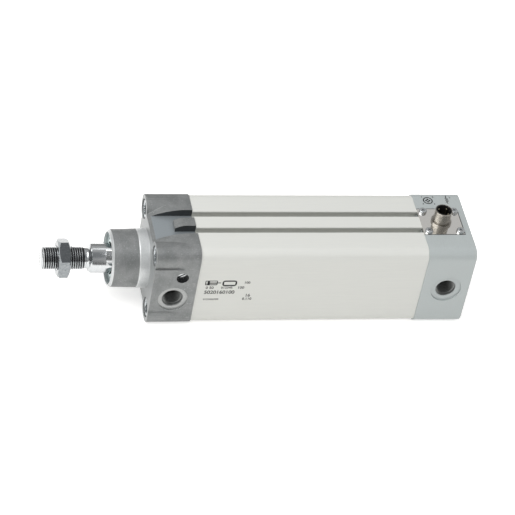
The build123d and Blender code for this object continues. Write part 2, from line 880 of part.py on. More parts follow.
with BuildPart() as piston_rod:
    rod_tip = -rod_reach - rod_thread_length
    undercut_front = -rod_reach - undercut_length
    revolve(
        half_section(
            (rod_tip, 0),
            (rod_tip, rod_thread / 2 - rod_thread_chamfer),
            (rod_tip + rod_thread_chamfer, rod_thread / 2),
            (undercut_front, rod_thread / 2),
            (undercut_front + rod_thread / 2 - undercut_radius, undercut_radius),
            (-rod_reach, undercut_radius),
            (-rod_reach, rod_radius - shoulder_chamfer),
            (-rod_reach + shoulder_chamfer, rod_radius),
            (tail_front, rod_radius),
            (tail_front, tail_radius),
            (tail_rear - tail_chamfer, tail_radius),
            (tail_rear, tail_radius - tail_chamfer),
            (tail_rear, carriage_seat_radius),
            (tail_rear - carriage_seat_depth, carriage_seat_radius),
            (tail_rear - carriage_seat_depth, rod_bore_radius),
            (rod_bore_front, rod_bore_radius),
            (rod_bore_front, 0),
        ),
        axis=Axis.X,
    )
    # Two wrench flats across the rod, just behind the shoulder
    with BuildSketch(Plane.YZ.offset(-rod_reach + flat_setback)):
        with PolarLocations(flat_across / 2 + rod_radius, 2, start_angle=90 + flat_turn):
            Rectangle(2 * rod_radius, 2 * rod_radius)
    extrude(amount=flat_length, mode=Mode.SUBTRACT)
piston_rod.part.label = "piston_rod"
export_step(piston_rod.part, "parts/piston_rod.step")

with BuildPart() as rod_nut:
    nut_front = rod_tip + nut_setback
    with BuildSketch(Plane.YZ.offset(nut_front)):
        RegularPolygon(nut_across / 2, 6, major_radius=False, rotation=nut_turn)
    extrude(amount=nut_thickness)
    nut_outline = nut_envelope(nut_front, nut_thickness, nut_across, nut_face_radius)
    revolve(nut_outline, axis=Axis.X, mode=Mode.INTERSECT)
    thread_wall = rod_thread / 2 + nut_thread_gap
    revolve(
        half_section(
            (nut_front, 0),
            (nut_front, thread_wall + nut_bore_chamfer),
            (nut_front + nut_bore_chamfer, thread_wall),
            (nut_front + nut_thickness - nut_bore_chamfer, thread_wall),
            (nut_front + nut_thickness, thread_wall + nut_bore_chamfer),
            (nut_front + nut_thickness, 0),
        ),
        axis=Axis.X,
        mode=Mode.SUBTRACT,
    )
rod_nut.part.label = "rod_nut"
export_step(rod_nut.part, "parts/rod_nut.step")


# Piston in two halves, with what they hold and what clamps them to the rod

with BuildPart() as piston_front_half:
    guide_seat = bore_radius - 2 * slide_gap - guide_ring_wall
    seal_front = piston_front + piston_land
    revolve(
        half_section(
            (piston_front, tail_radius + seat_gap),
            (piston_front, stop_ring_inner),
            (piston_front + stop_ring_depth, stop_ring_inner),
            (piston_front + stop_ring_depth, stop_ring_outer),
            (piston_front, stop_ring_outer),
            (piston_front, piston_radius - piston_chamfer),
            (piston_front + piston_chamfer, piston_radius),
            (seal_front, piston_radius),
            (seal_front, piston_seal_floor),
            (seal_front + piston_seal_width, piston_seal_floor),
            (seal_front + piston_seal_width, piston_radius),
            (piston_middle - guide_ring_length / 2, piston_radius),
            (piston_middle - guide_ring_length / 2, guide_seat),
            (piston_middle - magnet_length / 2, guide_seat),
            (piston_middle - magnet_length / 2, magnet_inner_radius),
            (piston_middle, magnet_inner_radius),
            (piston_middle, tail_radius + rod_ring_cord),
            (piston_middle - rod_ring_groove / 2, tail_radius + rod_ring_cord),
            (piston_middle - rod_ring_groove / 2, tail_radius + seat_gap),
        ),
        axis=Axis.X,
    )
piston_front_half.part.label = "piston_front_half"
export_step(piston_front_half.part, "parts/piston_front_half.step")

with BuildPart() as piston_rear_half:
    mirror(piston_front_half.part, about=Plane.YZ.offset(piston_middle))
piston_rear_half.part.label = "piston_rear_half"
export_step(piston_rear_half.part, "parts/piston_rear_half.step")

with BuildPart() as front_piston_seal:
    # Two lips round a notch that opens towards the pressure
    lip_front = seal_front + piston_seal_play / 2
    lip_rear = seal_front + piston_seal_width - piston_seal_play / 2
    inner_wall = piston_seal_floor + slide_gap
    outer_wall = bore_radius - slide_gap
    revolve(
        half_section(
            (lip_front, inner_wall),
            (lip_rear, inner_wall),
            (lip_rear, outer_wall - piston_seal_lip / 2),
            (lip_front + piston_seal_lip, outer_wall),
            (lip_front, outer_wall),
            (lip_front, outer_wall - piston_seal_lip),
            (lip_front + 2 * piston_seal_lip, (inner_wall + outer_wall) / 2),
            (lip_front, inner_wall + piston_seal_lip),
        ),
        axis=Axis.X,
    )
front_piston_seal.part.label = "front_piston_seal"
export_step(front_piston_seal.part, "parts/front_piston_seal.step")

with BuildPart() as rear_piston_seal:
    mirror(front_piston_seal.part, about=Plane.YZ.offset(piston_middle))
rear_piston_seal.part.label = "rear_piston_seal"
export_step(rear_piston_seal.part, "parts/rear_piston_seal.step")

with BuildPart() as guide_ring:
    with BuildSketch(Plane.YZ.offset(piston_middle)):
        Circle(bore_radius - slide_gap)
        Circle(bore_radius - slide_gap - guide_ring_wall, mode=Mode.SUBTRACT)
    extrude(amount=guide_ring_length / 2 - guide_ring_play, both=True)
guide_ring.part.label = "guide_ring"
export_step(guide_ring.part, "parts/guide_ring.step")

with BuildPart() as magnet_ring:
    with BuildSketch(Plane.YZ.offset(piston_middle)):
        Circle(guide_seat - seat_gap)
        Circle(magnet_inner_radius + seat_gap, mode=Mode.SUBTRACT)
    extrude(amount=magnet_length / 2, both=True)
magnet_ring.part.label = "magnet_ring"
export_step(magnet_ring.part, "parts/magnet_ring.step")

with BuildPart() as piston_rod_o_ring:
    revolve(ring_section(piston_middle, tail_radius + rod_ring_cord / 2, rod_ring_cord), axis=Axis.X)
piston_rod_o_ring.part.label = "piston_rod_o_ring"
export_step(piston_rod_o_ring.part, "parts/piston_rod_o_ring.step")

with BuildPart() as front_stop_ring:
    with BuildSketch(Plane.YZ.offset(piston_front + stop_ring_depth)):
        Circle(stop_ring_outer - seat_gap)
        Circle(stop_ring_inner + seat_gap, mode=Mode.SUBTRACT)
    extrude(amount=-stop_ring_depth - stop_ring_proud)
front_stop_ring.part.label = "front_stop_ring"
export_step(front_stop_ring.part, "parts/front_stop_ring.step")

with BuildPart() as rear_stop_ring:
    mirror(front_stop_ring.part, about=Plane.YZ.offset(piston_middle))
rear_stop_ring.part.label = "rear_stop_ring"
export_step(rear_stop_ring.part, "parts/rear_stop_ring.step")

with BuildPart() as front_cushion_bush:
    revolve(bush_section(tail_front, piston_front), axis=Axis.X)
front_cushion_bush.part.label = "front_cushion_bush"
export_step(front_cushion_bush.part, "parts/front_cushion_bush.step")

with BuildPart() as rear_cushion_bush:
    revolve(bush_section(rear_bush_end, piston_rear), axis=Axis.X)
rear_cushion_bush.part.label = "rear_cushion_bush"
export_step(rear_cushion_bush.part, "parts/rear_cushion_bush.step")

with BuildPart() as piston_nut:
    with BuildSketch(Plane.YZ.offset(rear_bush_end)):
        RegularPolygon(piston_nut_across / 2, 6, major_radius=False)
        Circle(tail_radius + seat_gap, mode=Mode.SUBTRACT)
    extrude(amount=piston_nut_thickness)
piston_nut.part.label = "piston_nut"
export_step(piston_nut.part, "parts/piston_nut.step")


# Position sensor: the rail stands on the base and reaches into the hollow rod

with BuildPart() as wiper_carriage:
    # A sleeve with a flat in its bore, so that it can't turn on the rail
    with BuildSketch(Plane.YZ.offset(carriage_front)):
        Circle(carriage_seat_radius - rail_gap)
        with BuildSketch(mode=Mode.PRIVATE) as rail_hole:
            Circle(rail_radius + rail_gap)
            with Locations((0, contact_height - 2 * rail_radius)):
                Rectangle(4 * rail_radius, 2 * rail_radius, align=centre_up, mode=Mode.INTERSECT)
        add(rail_hole.sketch, mode=Mode.SUBTRACT)
    extrude(amount=carriage_length)
    with BuildSketch(Plane.YZ.offset(carriage_front)):
        with Locations((0, contact_height)):
            Rectangle(contact_width, contact_thickness, align=centre_up)
    extrude(amount=contact_sink, mode=Mode.SUBTRACT)
wiper_carriage.part.label = "wiper_carriage"
export_step(wiper_carriage.part, "parts/wiper_carriage.step")

with BuildPart() as wiper_contacts:
    # A leaf with two fingers
    with BuildSketch(Plane.XY.offset(contact_height)):
        with Locations((carriage_front + contact_sink, 0)):
            Rectangle(contact_length + contact_sink, contact_width, align=(Align.MAX, Align.CENTER))
        with Locations((carriage_front + contact_sink - contact_length / 2, 0)):
            Rectangle(contact_length, contact_width / 5, align=(Align.MAX, Align.CENTER), mode=Mode.SUBTRACT)
    extrude(amount=contact_thickness)
wiper_contacts.part.label = "wiper_contacts"
export_step(wiper_contacts.part, "parts/wiper_contacts.step")

with BuildPart() as carriage_retaining_ring:
    with BuildSketch(Plane.YZ.offset(carriage_front + carriage_length + carriage_play)):
        Circle(carriage_seat_radius - seat_gap)
        Circle(carriage_ring_bore, mode=Mode.SUBTRACT)
    extrude(amount=carriage_ring_thickness)
carriage_retaining_ring.part.label = "carriage_retaining_ring"
export_step(carriage_retaining_ring.part, "parts/carriage_retaining_ring.step")

with BuildPart() as transducer_rail:
    with BuildSketch(Plane.YZ.offset(rail_front)):
        Circle(rail_radius)
        Circle(rail_bore_radius, mode=Mode.SUBTRACT)
        with Locations((0, rail_flat)):
            Rectangle(2 * rail_radius, rail_radius, align=centre_up, mode=Mode.SUBTRACT)
    extrude(amount=rear_cavity_floor + rail_sink - rail_front)
transducer_rail.part.label = "transducer_rail"
export_step(transducer_rail.part, "parts/transducer_rail.step")

with BuildPart() as resistive_strip:
    with BuildSketch(Plane.XY.offset(rail_flat)):
        with Locations((rear_cavity_floor, 0)):
            strip_length = rear_cavity_floor - rail_front - strip_setback
            Rectangle(strip_length, strip_width, align=(Align.MAX, Align.CENTER))
    extrude(amount=strip_thickness)
resistive_strip.part.label = "resistive_strip"
export_step(resistive_strip.part, "parts/resistive_strip.step")

with BuildPart() as transducer_base:
    revolve(
        half_section(
            (rear_cavity_floor, rail_radius + seat_gap),
            (rear_cavity_floor, base_radius),
            (base_ring_x - base_ring_groove / 2, base_radius),
            (base_ring_x - base_ring_groove / 2, base_radius + seat_gap - base_ring_cord),
            (base_ring_x + base_ring_groove / 2, base_radius + seat_gap - base_ring_cord),
            (base_ring_x + base_ring_groove / 2, base_radius),
            (base_rear, base_radius),
            (base_rear, 0),
            (rear_cavity_floor + rail_sink, 0),
            (rear_cavity_floor + rail_sink, rail_radius + seat_gap),
        ),
        axis=Axis.X,
    )
    with BuildSketch(Plane.XY.offset(base_radius - lead_sink)):
        with Locations((lead_x, 0)):
            with GridLocations(0, lead_spacing, 1, 3):
                Circle(lead_radius)
    extrude(amount=lead_sink, mode=Mode.SUBTRACT)
transducer_base.part.label = "transducer_base"
export_step(transducer_base.part, "parts/transducer_base.step")

with BuildPart() as transducer_base_o_ring:
    base_ring_radius = base_radius + seat_gap - base_ring_cord / 2
    revolve(ring_section(base_ring_x, base_ring_radius, base_ring_cord), axis=Axis.X)
transducer_base_o_ring.part.label = "transducer_base_o_ring"
export_step(transducer_base_o_ring.part, "parts/transducer_base_o_ring.step")

with BuildPart() as sensor_leads:
    with BuildSketch(Plane.XY.offset(base_radius - lead_sink)):
        with Locations((lead_x, 0)):
            with GridLocations(0, lead_spacing, 1, 3):
                Circle(lead_radius)
    extrude(amount=board_top + lead_proud - base_radius + lead_sink)
sensor_leads.part.label = "sensor_leads"
export_step(sensor_leads.part, "parts/sensor_leads.step")


# Circuit board, plate and connector on the rear cap

with BuildPart() as circuit_board:
    with BuildSketch(Plane.XY.offset(board_height)):
        with Locations((pocket_x, 0)):
            Rectangle(pocket_length - 2 * board_gap, pocket_width - 2 * board_gap)
        with Locations((lead_x, 0)):
            with GridLocations(0, lead_spacing, 1, 3):
                Circle(lead_radius + seat_gap, mode=Mode.SUBTRACT)
    extrude(amount=board_thickness)
circuit_board.part.label = "circuit_board"
export_step(circuit_board.part, "parts/circuit_board.step")

with BuildPart() as plate_gasket:
    with BuildSketch(Plane.XY.offset(gasket_bottom)):
        with Locations((plate_x, 0)):
            RectangleRounded(plate_length, plate_width, plate_corner)
        with Locations((pocket_x, 0)):
            Rectangle(pocket_length, pocket_width, mode=Mode.SUBTRACT)
        with Locations((plate_screw_x, 0)):
            with GridLocations(plate_screw_pitch_x, plate_screw_pitch_y, 2, 2):
                Circle(plate_screw_radius + plate_screw_gap, mode=Mode.SUBTRACT)
    extrude(amount=gasket_thickness)
plate_gasket.part.label = "plate_gasket"
export_step(plate_gasket.part, "parts/plate_gasket.step")

with BuildPart() as connector_plate:
    with BuildSketch(Plane.XY.offset(plate_bottom)):
        with Locations((plate_x, 0)):
            RectangleRounded(plate_length, plate_width, plate_corner)
        with Locations((connector_x, 0)):
            Circle(connector_neck_radius + connector_neck_gap, mode=Mode.SUBTRACT)
        with Locations((plate_screw_x, 0)):
            with GridLocations(plate_screw_pitch_x, plate_screw_pitch_y, 2, 2):
                Circle(plate_screw_radius + plate_screw_gap, mode=Mode.SUBTRACT)
    extrude(amount=plate_thickness)
connector_plate.part.label = "connector_plate"
export_step(connector_plate.part, "parts/connector_plate.step")

with BuildPart() as plate_screw:
    # Pan head with a rounded rim
    revolve(
        top_section(
            0,
            (0, cap_half - plate_screw_length),
            (plate_screw_radius, cap_half - plate_screw_length),
            (plate_screw_radius, cap_half),
            (plate_screw_head_radius, cap_half),
            (plate_screw_head_radius, cap_half + plate_screw_head_height),
            (0, cap_half + plate_screw_head_height),
        ),
        axis=Axis.Z,
    )
    fillet(plate_screw.faces().sort_by(Axis.Z)[-1].edges(), plate_screw_dome)

with BuildPart() as plate_screws:
    with Locations((plate_screw_x, 0)):
        with GridLocations(plate_screw_pitch_x, plate_screw_pitch_y, 2, 2):
            add(plate_screw.part)
plate_screws.part.label = "plate_screws"
export_step(plate_screws.part, "parts/plate_screws.step")

with BuildPart() as connector_shell:
    # Threaded collar above the flange, neck through the plate
    insert_step = cap_half + connector_flange_height + insert_step_rise
    collar_top = cap_half + connector_height
    neck_bottom = cap_half - connector_neck_length
    revolve(
        top_section(
            connector_x,
            (insert_neck_radius + seat_gap, neck_bottom),
            (connector_neck_radius, neck_bottom),
            (connector_neck_radius, cap_half),
            (connector_flange_radius, cap_half),
            (connector_flange_radius, cap_half + connector_flange_height),
            (connector_radius, cap_half + connector_flange_height),
            (connector_radius, collar_top - connector_chamfer),
            (connector_radius - connector_chamfer, collar_top),
            (connector_cavity_radius, collar_top),
            (connector_cavity_radius, insert_step),
            (insert_neck_radius + seat_gap, insert_step),
        ),
        axis=Axis((connector_x, 0, 0), (0, 0, 1)),
    )
connector_shell.part.label = "connector_shell"
export_step(connector_shell.part, "parts/connector_shell.step")

with BuildPart() as connector_nut:
    with BuildSketch(Plane.XY.offset(plate_bottom)):
        with Locations((connector_x, 0)):
            RegularPolygon(connector_nut_across / 2, 6, major_radius=False)
            Circle(connector_neck_radius + seat_gap, mode=Mode.SUBTRACT)
    extrude(amount=-connector_nut_thickness)
connector_nut.part.label = "connector_nut"
export_step(connector_nut.part, "parts/connector_nut.step")

with BuildPart() as connector_insert:
    # Moulded cup with a key that runs up its wall, and a hole for each pin
    revolve(
        top_section(
            connector_x,
            (0, neck_bottom),
            (insert_neck_radius, neck_bottom),
            (insert_neck_radius, insert_step),
            (connector_cavity_radius - seat_gap, insert_step),
            (connector_cavity_radius - seat_gap, insert_rim),
            (connector_cavity_radius - insert_wall, insert_rim),
            (connector_cavity_radius - insert_wall, insert_face),
            (0, insert_face),
        ),
        axis=Axis((connector_x, 0, 0), (0, 0, 1)),
    )
    with BuildSketch(Plane.XY.offset(insert_face)):
        with Locations((connector_x, 0)):
            Circle(connector_cavity_radius - insert_wall)
            Circle(connector_cavity_radius - insert_wall - key_depth, mode=Mode.SUBTRACT)
            Rectangle(2 * connector_radius, key_width, align=(Align.MIN, Align.CENTER), mode=Mode.INTERSECT)
    extrude(amount=key_height - insert_face_height)
    with BuildSketch(Plane.XY.offset(neck_bottom)):
        with Locations((connector_x, 0)):
            with PolarLocations(pin_circle_radius, pin_count, start_angle=pin_turn):
                Circle(pin_radius + seat_gap)
    extrude(amount=insert_face - neck_bottom, mode=Mode.SUBTRACT)
connector_insert.part.label = "connector_insert"
export_step(connector_insert.part, "parts/connector_insert.step")

with BuildPart() as connector_pins:
    with BuildSketch(Plane.XY.offset(board_top)):
        with Locations((connector_x, 0)):
            with PolarLocations(pin_circle_radius, pin_count, start_angle=pin_turn):
                Circle(pin_radius)
    extrude(amount=cap_half + pin_top_height - board_top)
    chamfer(connector_pins.faces().group_by(Axis.Z)[-1].edges(), pin_radius / 3)
connector_pins.part.label = "connector_pins"
export_step(connector_pins.part, "parts/connector_pins.step")
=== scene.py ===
import math

import bmesh
import bpy
from mathutils import Matrix, Vector


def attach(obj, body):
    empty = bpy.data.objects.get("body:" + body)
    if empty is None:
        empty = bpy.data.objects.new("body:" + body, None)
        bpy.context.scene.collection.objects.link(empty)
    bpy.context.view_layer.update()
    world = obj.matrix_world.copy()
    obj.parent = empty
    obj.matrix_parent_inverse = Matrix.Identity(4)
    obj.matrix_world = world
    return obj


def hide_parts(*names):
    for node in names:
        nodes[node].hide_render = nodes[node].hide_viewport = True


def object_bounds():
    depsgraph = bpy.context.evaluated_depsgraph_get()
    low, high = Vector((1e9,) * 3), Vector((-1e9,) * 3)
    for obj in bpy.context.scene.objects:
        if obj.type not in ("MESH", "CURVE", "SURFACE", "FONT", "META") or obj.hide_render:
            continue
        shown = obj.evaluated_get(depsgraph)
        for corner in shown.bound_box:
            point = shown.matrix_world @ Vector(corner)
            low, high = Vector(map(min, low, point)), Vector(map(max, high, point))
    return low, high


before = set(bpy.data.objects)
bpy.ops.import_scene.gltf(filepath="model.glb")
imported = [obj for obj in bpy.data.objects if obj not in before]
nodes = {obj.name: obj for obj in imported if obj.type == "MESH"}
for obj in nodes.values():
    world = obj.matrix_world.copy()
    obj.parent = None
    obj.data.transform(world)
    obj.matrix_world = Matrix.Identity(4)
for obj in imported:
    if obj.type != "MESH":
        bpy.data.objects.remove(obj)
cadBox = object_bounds()
mm = 0.001
print("frame loaded:", len(nodes), "nodes")


# Colours, nodes and meshes

def toLinear(hexColor):
    parts = [int(hexColor[i:i + 2], 16) / 255 for i in (1, 3, 5)]
    return [c / 12.92 if c <= 0.04045 else ((c + 0.055) / 1.055) ** 2.4 for c in parts] + [1.0]


def addNode(tree, kind, settings=None, links=None):
    # lower-case settings belong to the node, the others are values of its inputs
    node = tree.nodes.new(kind)
    for key, value in (settings or {}).items():
        if isinstance(key, str) and key[0].islower():
            setattr(node, key, value)
        else:
            node.inputs[key].default_value = value
    for key, source in (links or {}).items():
        tree.links.new(source, node.inputs[key])
    return node


def newMaterial(name, settings):
    material = bpy.data.materials.new(name)
    material.use_nodes = True
    tree = material.node_tree
    tree.nodes.clear()
    shader = addNode(tree, "ShaderNodeBsdfPrincipled", settings)
    addNode(tree, "ShaderNodeOutputMaterial", links={"Surface": shader.outputs[0]})
    material.diffuse_color = (0.6, 0.6, 0.6, 1)  # in the viewport
    return material, tree, shader


def paint(nodeNames, material):
    for nodeName in nodeNames:
        data = nodes[nodeName].data
        data.materials.clear()
        data.materials.append(material)


def smoothByAngle(mesh, degrees=32):
    mesh.polygons.foreach_set("use_smooth", [True] * len(mesh.polygons))
    mesh.set_sharp_from_angle(angle=math.radians(degrees))


def addPiece(name, mesh, material, body, replaced=()):
    mesh.name = name
    mesh.materials.clear()
    mesh.materials.append(material)
    piece = bpy.data.objects.new(name, mesh)
    bpy.context.scene.collection.objects.link(piece)
    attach(piece, body)
    if replaced:
        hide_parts(*replaced)
    return piece


def lathe(profile, steps, close=True):
    # turns (height, radius) points about Z; with close the profile is a loop
    bm = bmesh.new()
    rings = []
    for height, radius in profile:
        if radius < 1e-6:
            rings.append([bm.verts.new((0, 0, height * mm))])
            continue
        ring = []
        for i in range(steps):
            angle = 2 * math.pi * i / steps
            ring.append(bm.verts.new((radius * mm * math.cos(angle), radius * mm * math.sin(angle), height * mm)))
        rings.append(ring)
    pairs = list(zip(rings, rings[1:]))
    if close:
        pairs.append((rings[-1], rings[0]))
    for low, high in pairs:
        if len(low) == 1 and len(high) == 1:
            continue
        for i in range(steps):
            j = (i + 1) % steps
            corners = [low[i % len(low)], low[j % len(low)], high[j % len(high)], high[i % len(high)]]
            corners = [c for k, c in enumerate(corners) if c not in corners[:k]]
            bm.faces.new(corners)
    bmesh.ops.recalc_face_normals(bm, faces=bm.faces)
    mesh = bpy.data.meshes.new("turned")
    bm.to_mesh(mesh)
    bm.free()
    return mesh


def joinMeshes(name, meshes):
    bm = bmesh.new()
    for mesh in meshes:
        bm.from_mesh(mesh)
    joined = bpy.data.meshes.new(name)
    bm.to_mesh(joined)
    bm.free()
    return joined


alongX = Matrix.Rotation(math.radians(90), 4, "Y")  # takes +Z to +X
alongY = Matrix.Rotation(math.radians(-90), 4, "X")  # takes +Z to +Y


def placed(mesh, turn, x, y, z):
    mesh.transform(Matrix.Translation((x * mm, y * mm, z * mm)) @ turn)
    return mesh


# Camera, at the photograph's angle

cameraView = {
    "turn": 18.269,  # degrees about Z, away from looking along +Y
    "tilt": 41.162,
    "roll": 12.072,
    "distance": 1818.503,  # mm to the middle of the body
    "focal": 2693.446,  # in pixels
    "frame": 515,  # pixels
    "sensor": 36,
    "across": -2.629,
    "up": 0.028,
    "target": (75.0, 0.0, 0.0),
}

turn, tilt, roll = (math.radians(cameraView[k]) for k in ("turn", "tilt", "roll"))
forward = Vector((math.sin(turn) * math.cos(tilt), math.cos(turn) * math.cos(tilt), -math.sin(tilt)))
level = Vector((math.cos(turn), -math.sin(turn), 0))
upright = level.cross(forward)
right = level * math.cos(roll) + upright * math.sin(roll)
above = upright * math.cos(roll) - level * math.sin(roll)
eye = Vector(cameraView["target"]) - forward * cameraView["distance"]
eye = (eye - right * cameraView["across"] - above * cameraView["up"]) * mm
camera = bpy.data.objects.new("camera", bpy.data.cameras.new("camera"))
bpy.context.scene.collection.objects.link(camera)
camera.matrix_world = Matrix((
    (right.x, above.x, -forward.x, eye.x),
    (right.y, above.y, -forward.y, eye.y),
    (right.z, above.z, -forward.z, eye.z),
    (0, 0, 0, 1),
))
camera.data.sensor_width = cameraView["sensor"]
camera.data.lens = cameraView["focal"] * cameraView["sensor"] / cameraView["frame"]
camera.data.clip_end = 20  # metres
bpy.context.scene.camera = camera
print("camera placed")


# Floor, world and lamps

studio = {
    "floor": "#F4F3F1",
    "floorSize": 6.0,  # metres
    "floorGap": 0.02,  # mm under the caps
    "glow": 0.54,  # how far the floor shines by itself to the camera and in the metal
    "skyTop": "#FFFFFF",
    "skySide": "#828280",
    "skyRise": (-0.05, 0.75),  # heights between which the side turns to the top
    "skyDark": "#B4B6B8",  # a grey flag overhead, which bright metal mirrors
    "sky": 0.6,
    "flag": (0.236, -0.45, 0.86),
    "flagSize": (0.883, 0.978),  # cosines of its soft rim
    "lamps": {  # watts, size and place in metres, seen in mirroring metal or not
        "keyLamp": (10.5, (1.3, 1.0), (-0.55, -0.12, 1.1), True),
        "edgeLamp": (2.5, (1.2, 0.25), (0.35, -0.8, 0.87), False),
        "fillLamp": (0.35, (1.2, 0.5), (-0.5, -1.0, 0.35), True),
    },
    "aim": (0.075, 0, 0),
}

scene = bpy.context.scene
scene.view_settings.view_transform = "Standard"
floorZ = cadBox[0][2] - studio["floorGap"] * mm
floorMesh = bpy.data.meshes.new("floor")
half = studio["floorSize"] / 2
floorMesh.from_pydata(
    [(-half, -half, floorZ), (half, -half, floorZ), (half, half, floorZ), (-half, half, floorZ)], [], [(0, 1, 2, 3)]
)
floor = bpy.data.objects.new("floor", floorMesh)
scene.collection.objects.link(floor)

floorMaterial = bpy.data.materials.new("matteBoard")  # white board: dull, takes a soft shadow
floorMaterial.use_nodes = True
tree = floorMaterial.node_tree
tree.nodes.clear()
rays = addNode(tree, "ShaderNodeLightPath")
seen = addNode(tree, "ShaderNodeMath", {"operation": "MAXIMUM"},
               {0: rays.outputs["Is Camera Ray"], 1: rays.outputs["Is Glossy Ray"]})
seen = addNode(tree, "ShaderNodeMath", {"operation": "MAXIMUM"},
               {0: seen.outputs[0], 1: rays.outputs["Is Transmission Ray"]})
strength = addNode(tree, "ShaderNodeMath", {"operation": "MULTIPLY", 1: studio["glow"]}, {0: seen.outputs[0]})
glow = addNode(tree, "ShaderNodeEmission", {"Color": (1, 1, 1, 1)}, {"Strength": strength.outputs[0]})
board = addNode(tree, "ShaderNodeBsdfDiffuse", {"Color": toLinear(studio["floor"])})
litBoard = addNode(tree, "ShaderNodeAddShader", links={0: board.outputs[0], 1: glow.outputs[0]})
addNode(tree, "ShaderNodeOutputMaterial", links={"Surface": litBoard.outputs[0]})
floorMesh.materials.append(floorMaterial)

world = bpy.data.worlds.new("studio")
scene.world = world
world.use_nodes = True
tree = world.node_tree
tree.nodes.clear()
place = addNode(tree, "ShaderNodeTexCoord")
axes = addNode(tree, "ShaderNodeSeparateXYZ", links={0: place.outputs["Generated"]})
sky = addNode(tree, "ShaderNodeMapRange", {"From Min": studio["skyRise"][0], "From Max": studio["skyRise"][1]},
              {"Value": axes.outputs["Z"]})
tone = addNode(tree, "ShaderNodeMix", {"data_type": "RGBA", 6: toLinear(studio["skySide"]),
                                       7: toLinear(studio["skyTop"])}, {0: sky.outputs[0]})
rays = addNode(tree, "ShaderNodeLightPath")
flagAim = Vector(studio["flag"]).normalized()
toFlag = addNode(tree, "ShaderNodeVectorMath", {"operation": "DOT_PRODUCT", 1: flagAim},
                 {0: place.outputs["Generated"]})
flag = addNode(tree, "ShaderNodeMapRange", {"From Min": studio["flagSize"][0], "From Max": studio["flagSize"][1]},
               {"Value": toFlag.outputs["Value"]})
mirrored = addNode(tree, "ShaderNodeMath", {"operation": "MULTIPLY"},
                   {0: flag.outputs[0], 1: rays.outputs["Is Glossy Ray"]})
tone = addNode(tree, "ShaderNodeMix", {"data_type": "RGBA", 7: toLinear(studio["skyDark"])},
               {0: mirrored.outputs[0], 6: tone.outputs[2]})
light = addNode(tree, "ShaderNodeBackground", {"Strength": studio["sky"]}, {"Color": tone.outputs[2]})
backdrop = addNode(tree, "ShaderNodeBackground", {"Color": (1, 1, 1, 1), "Strength": 1.0})
choice = addNode(tree, "ShaderNodeMixShader", links={0: rays.outputs["Is Camera Ray"], 1: light.outputs[0],
                                                     2: backdrop.outputs[0]})
addNode(tree, "ShaderNodeOutputWorld", links={"Surface": choice.outputs[0]})


def addLamp(name, power, size, position, mirrored):
    data = bpy.data.lights.new(name, "AREA")
    data.energy = power
    data.shape = "RECTANGLE"
    data.size, data.size_y = size
    lamp = bpy.data.objects.new(name, data)
    scene.collection.objects.link(lamp)
    lamp.location = position
    lamp.rotation_euler = (Vector(studio["aim"]) - Vector(position)).to_track_quat("-Z", "Y").to_euler()
    lamp.visible_glossy = mirrored


for name, look in studio["lamps"].items():
    addLamp(name, *look)
print("studio lit")


# Finishes: two close tones and a roughness that follow the same grain, with a slight relief

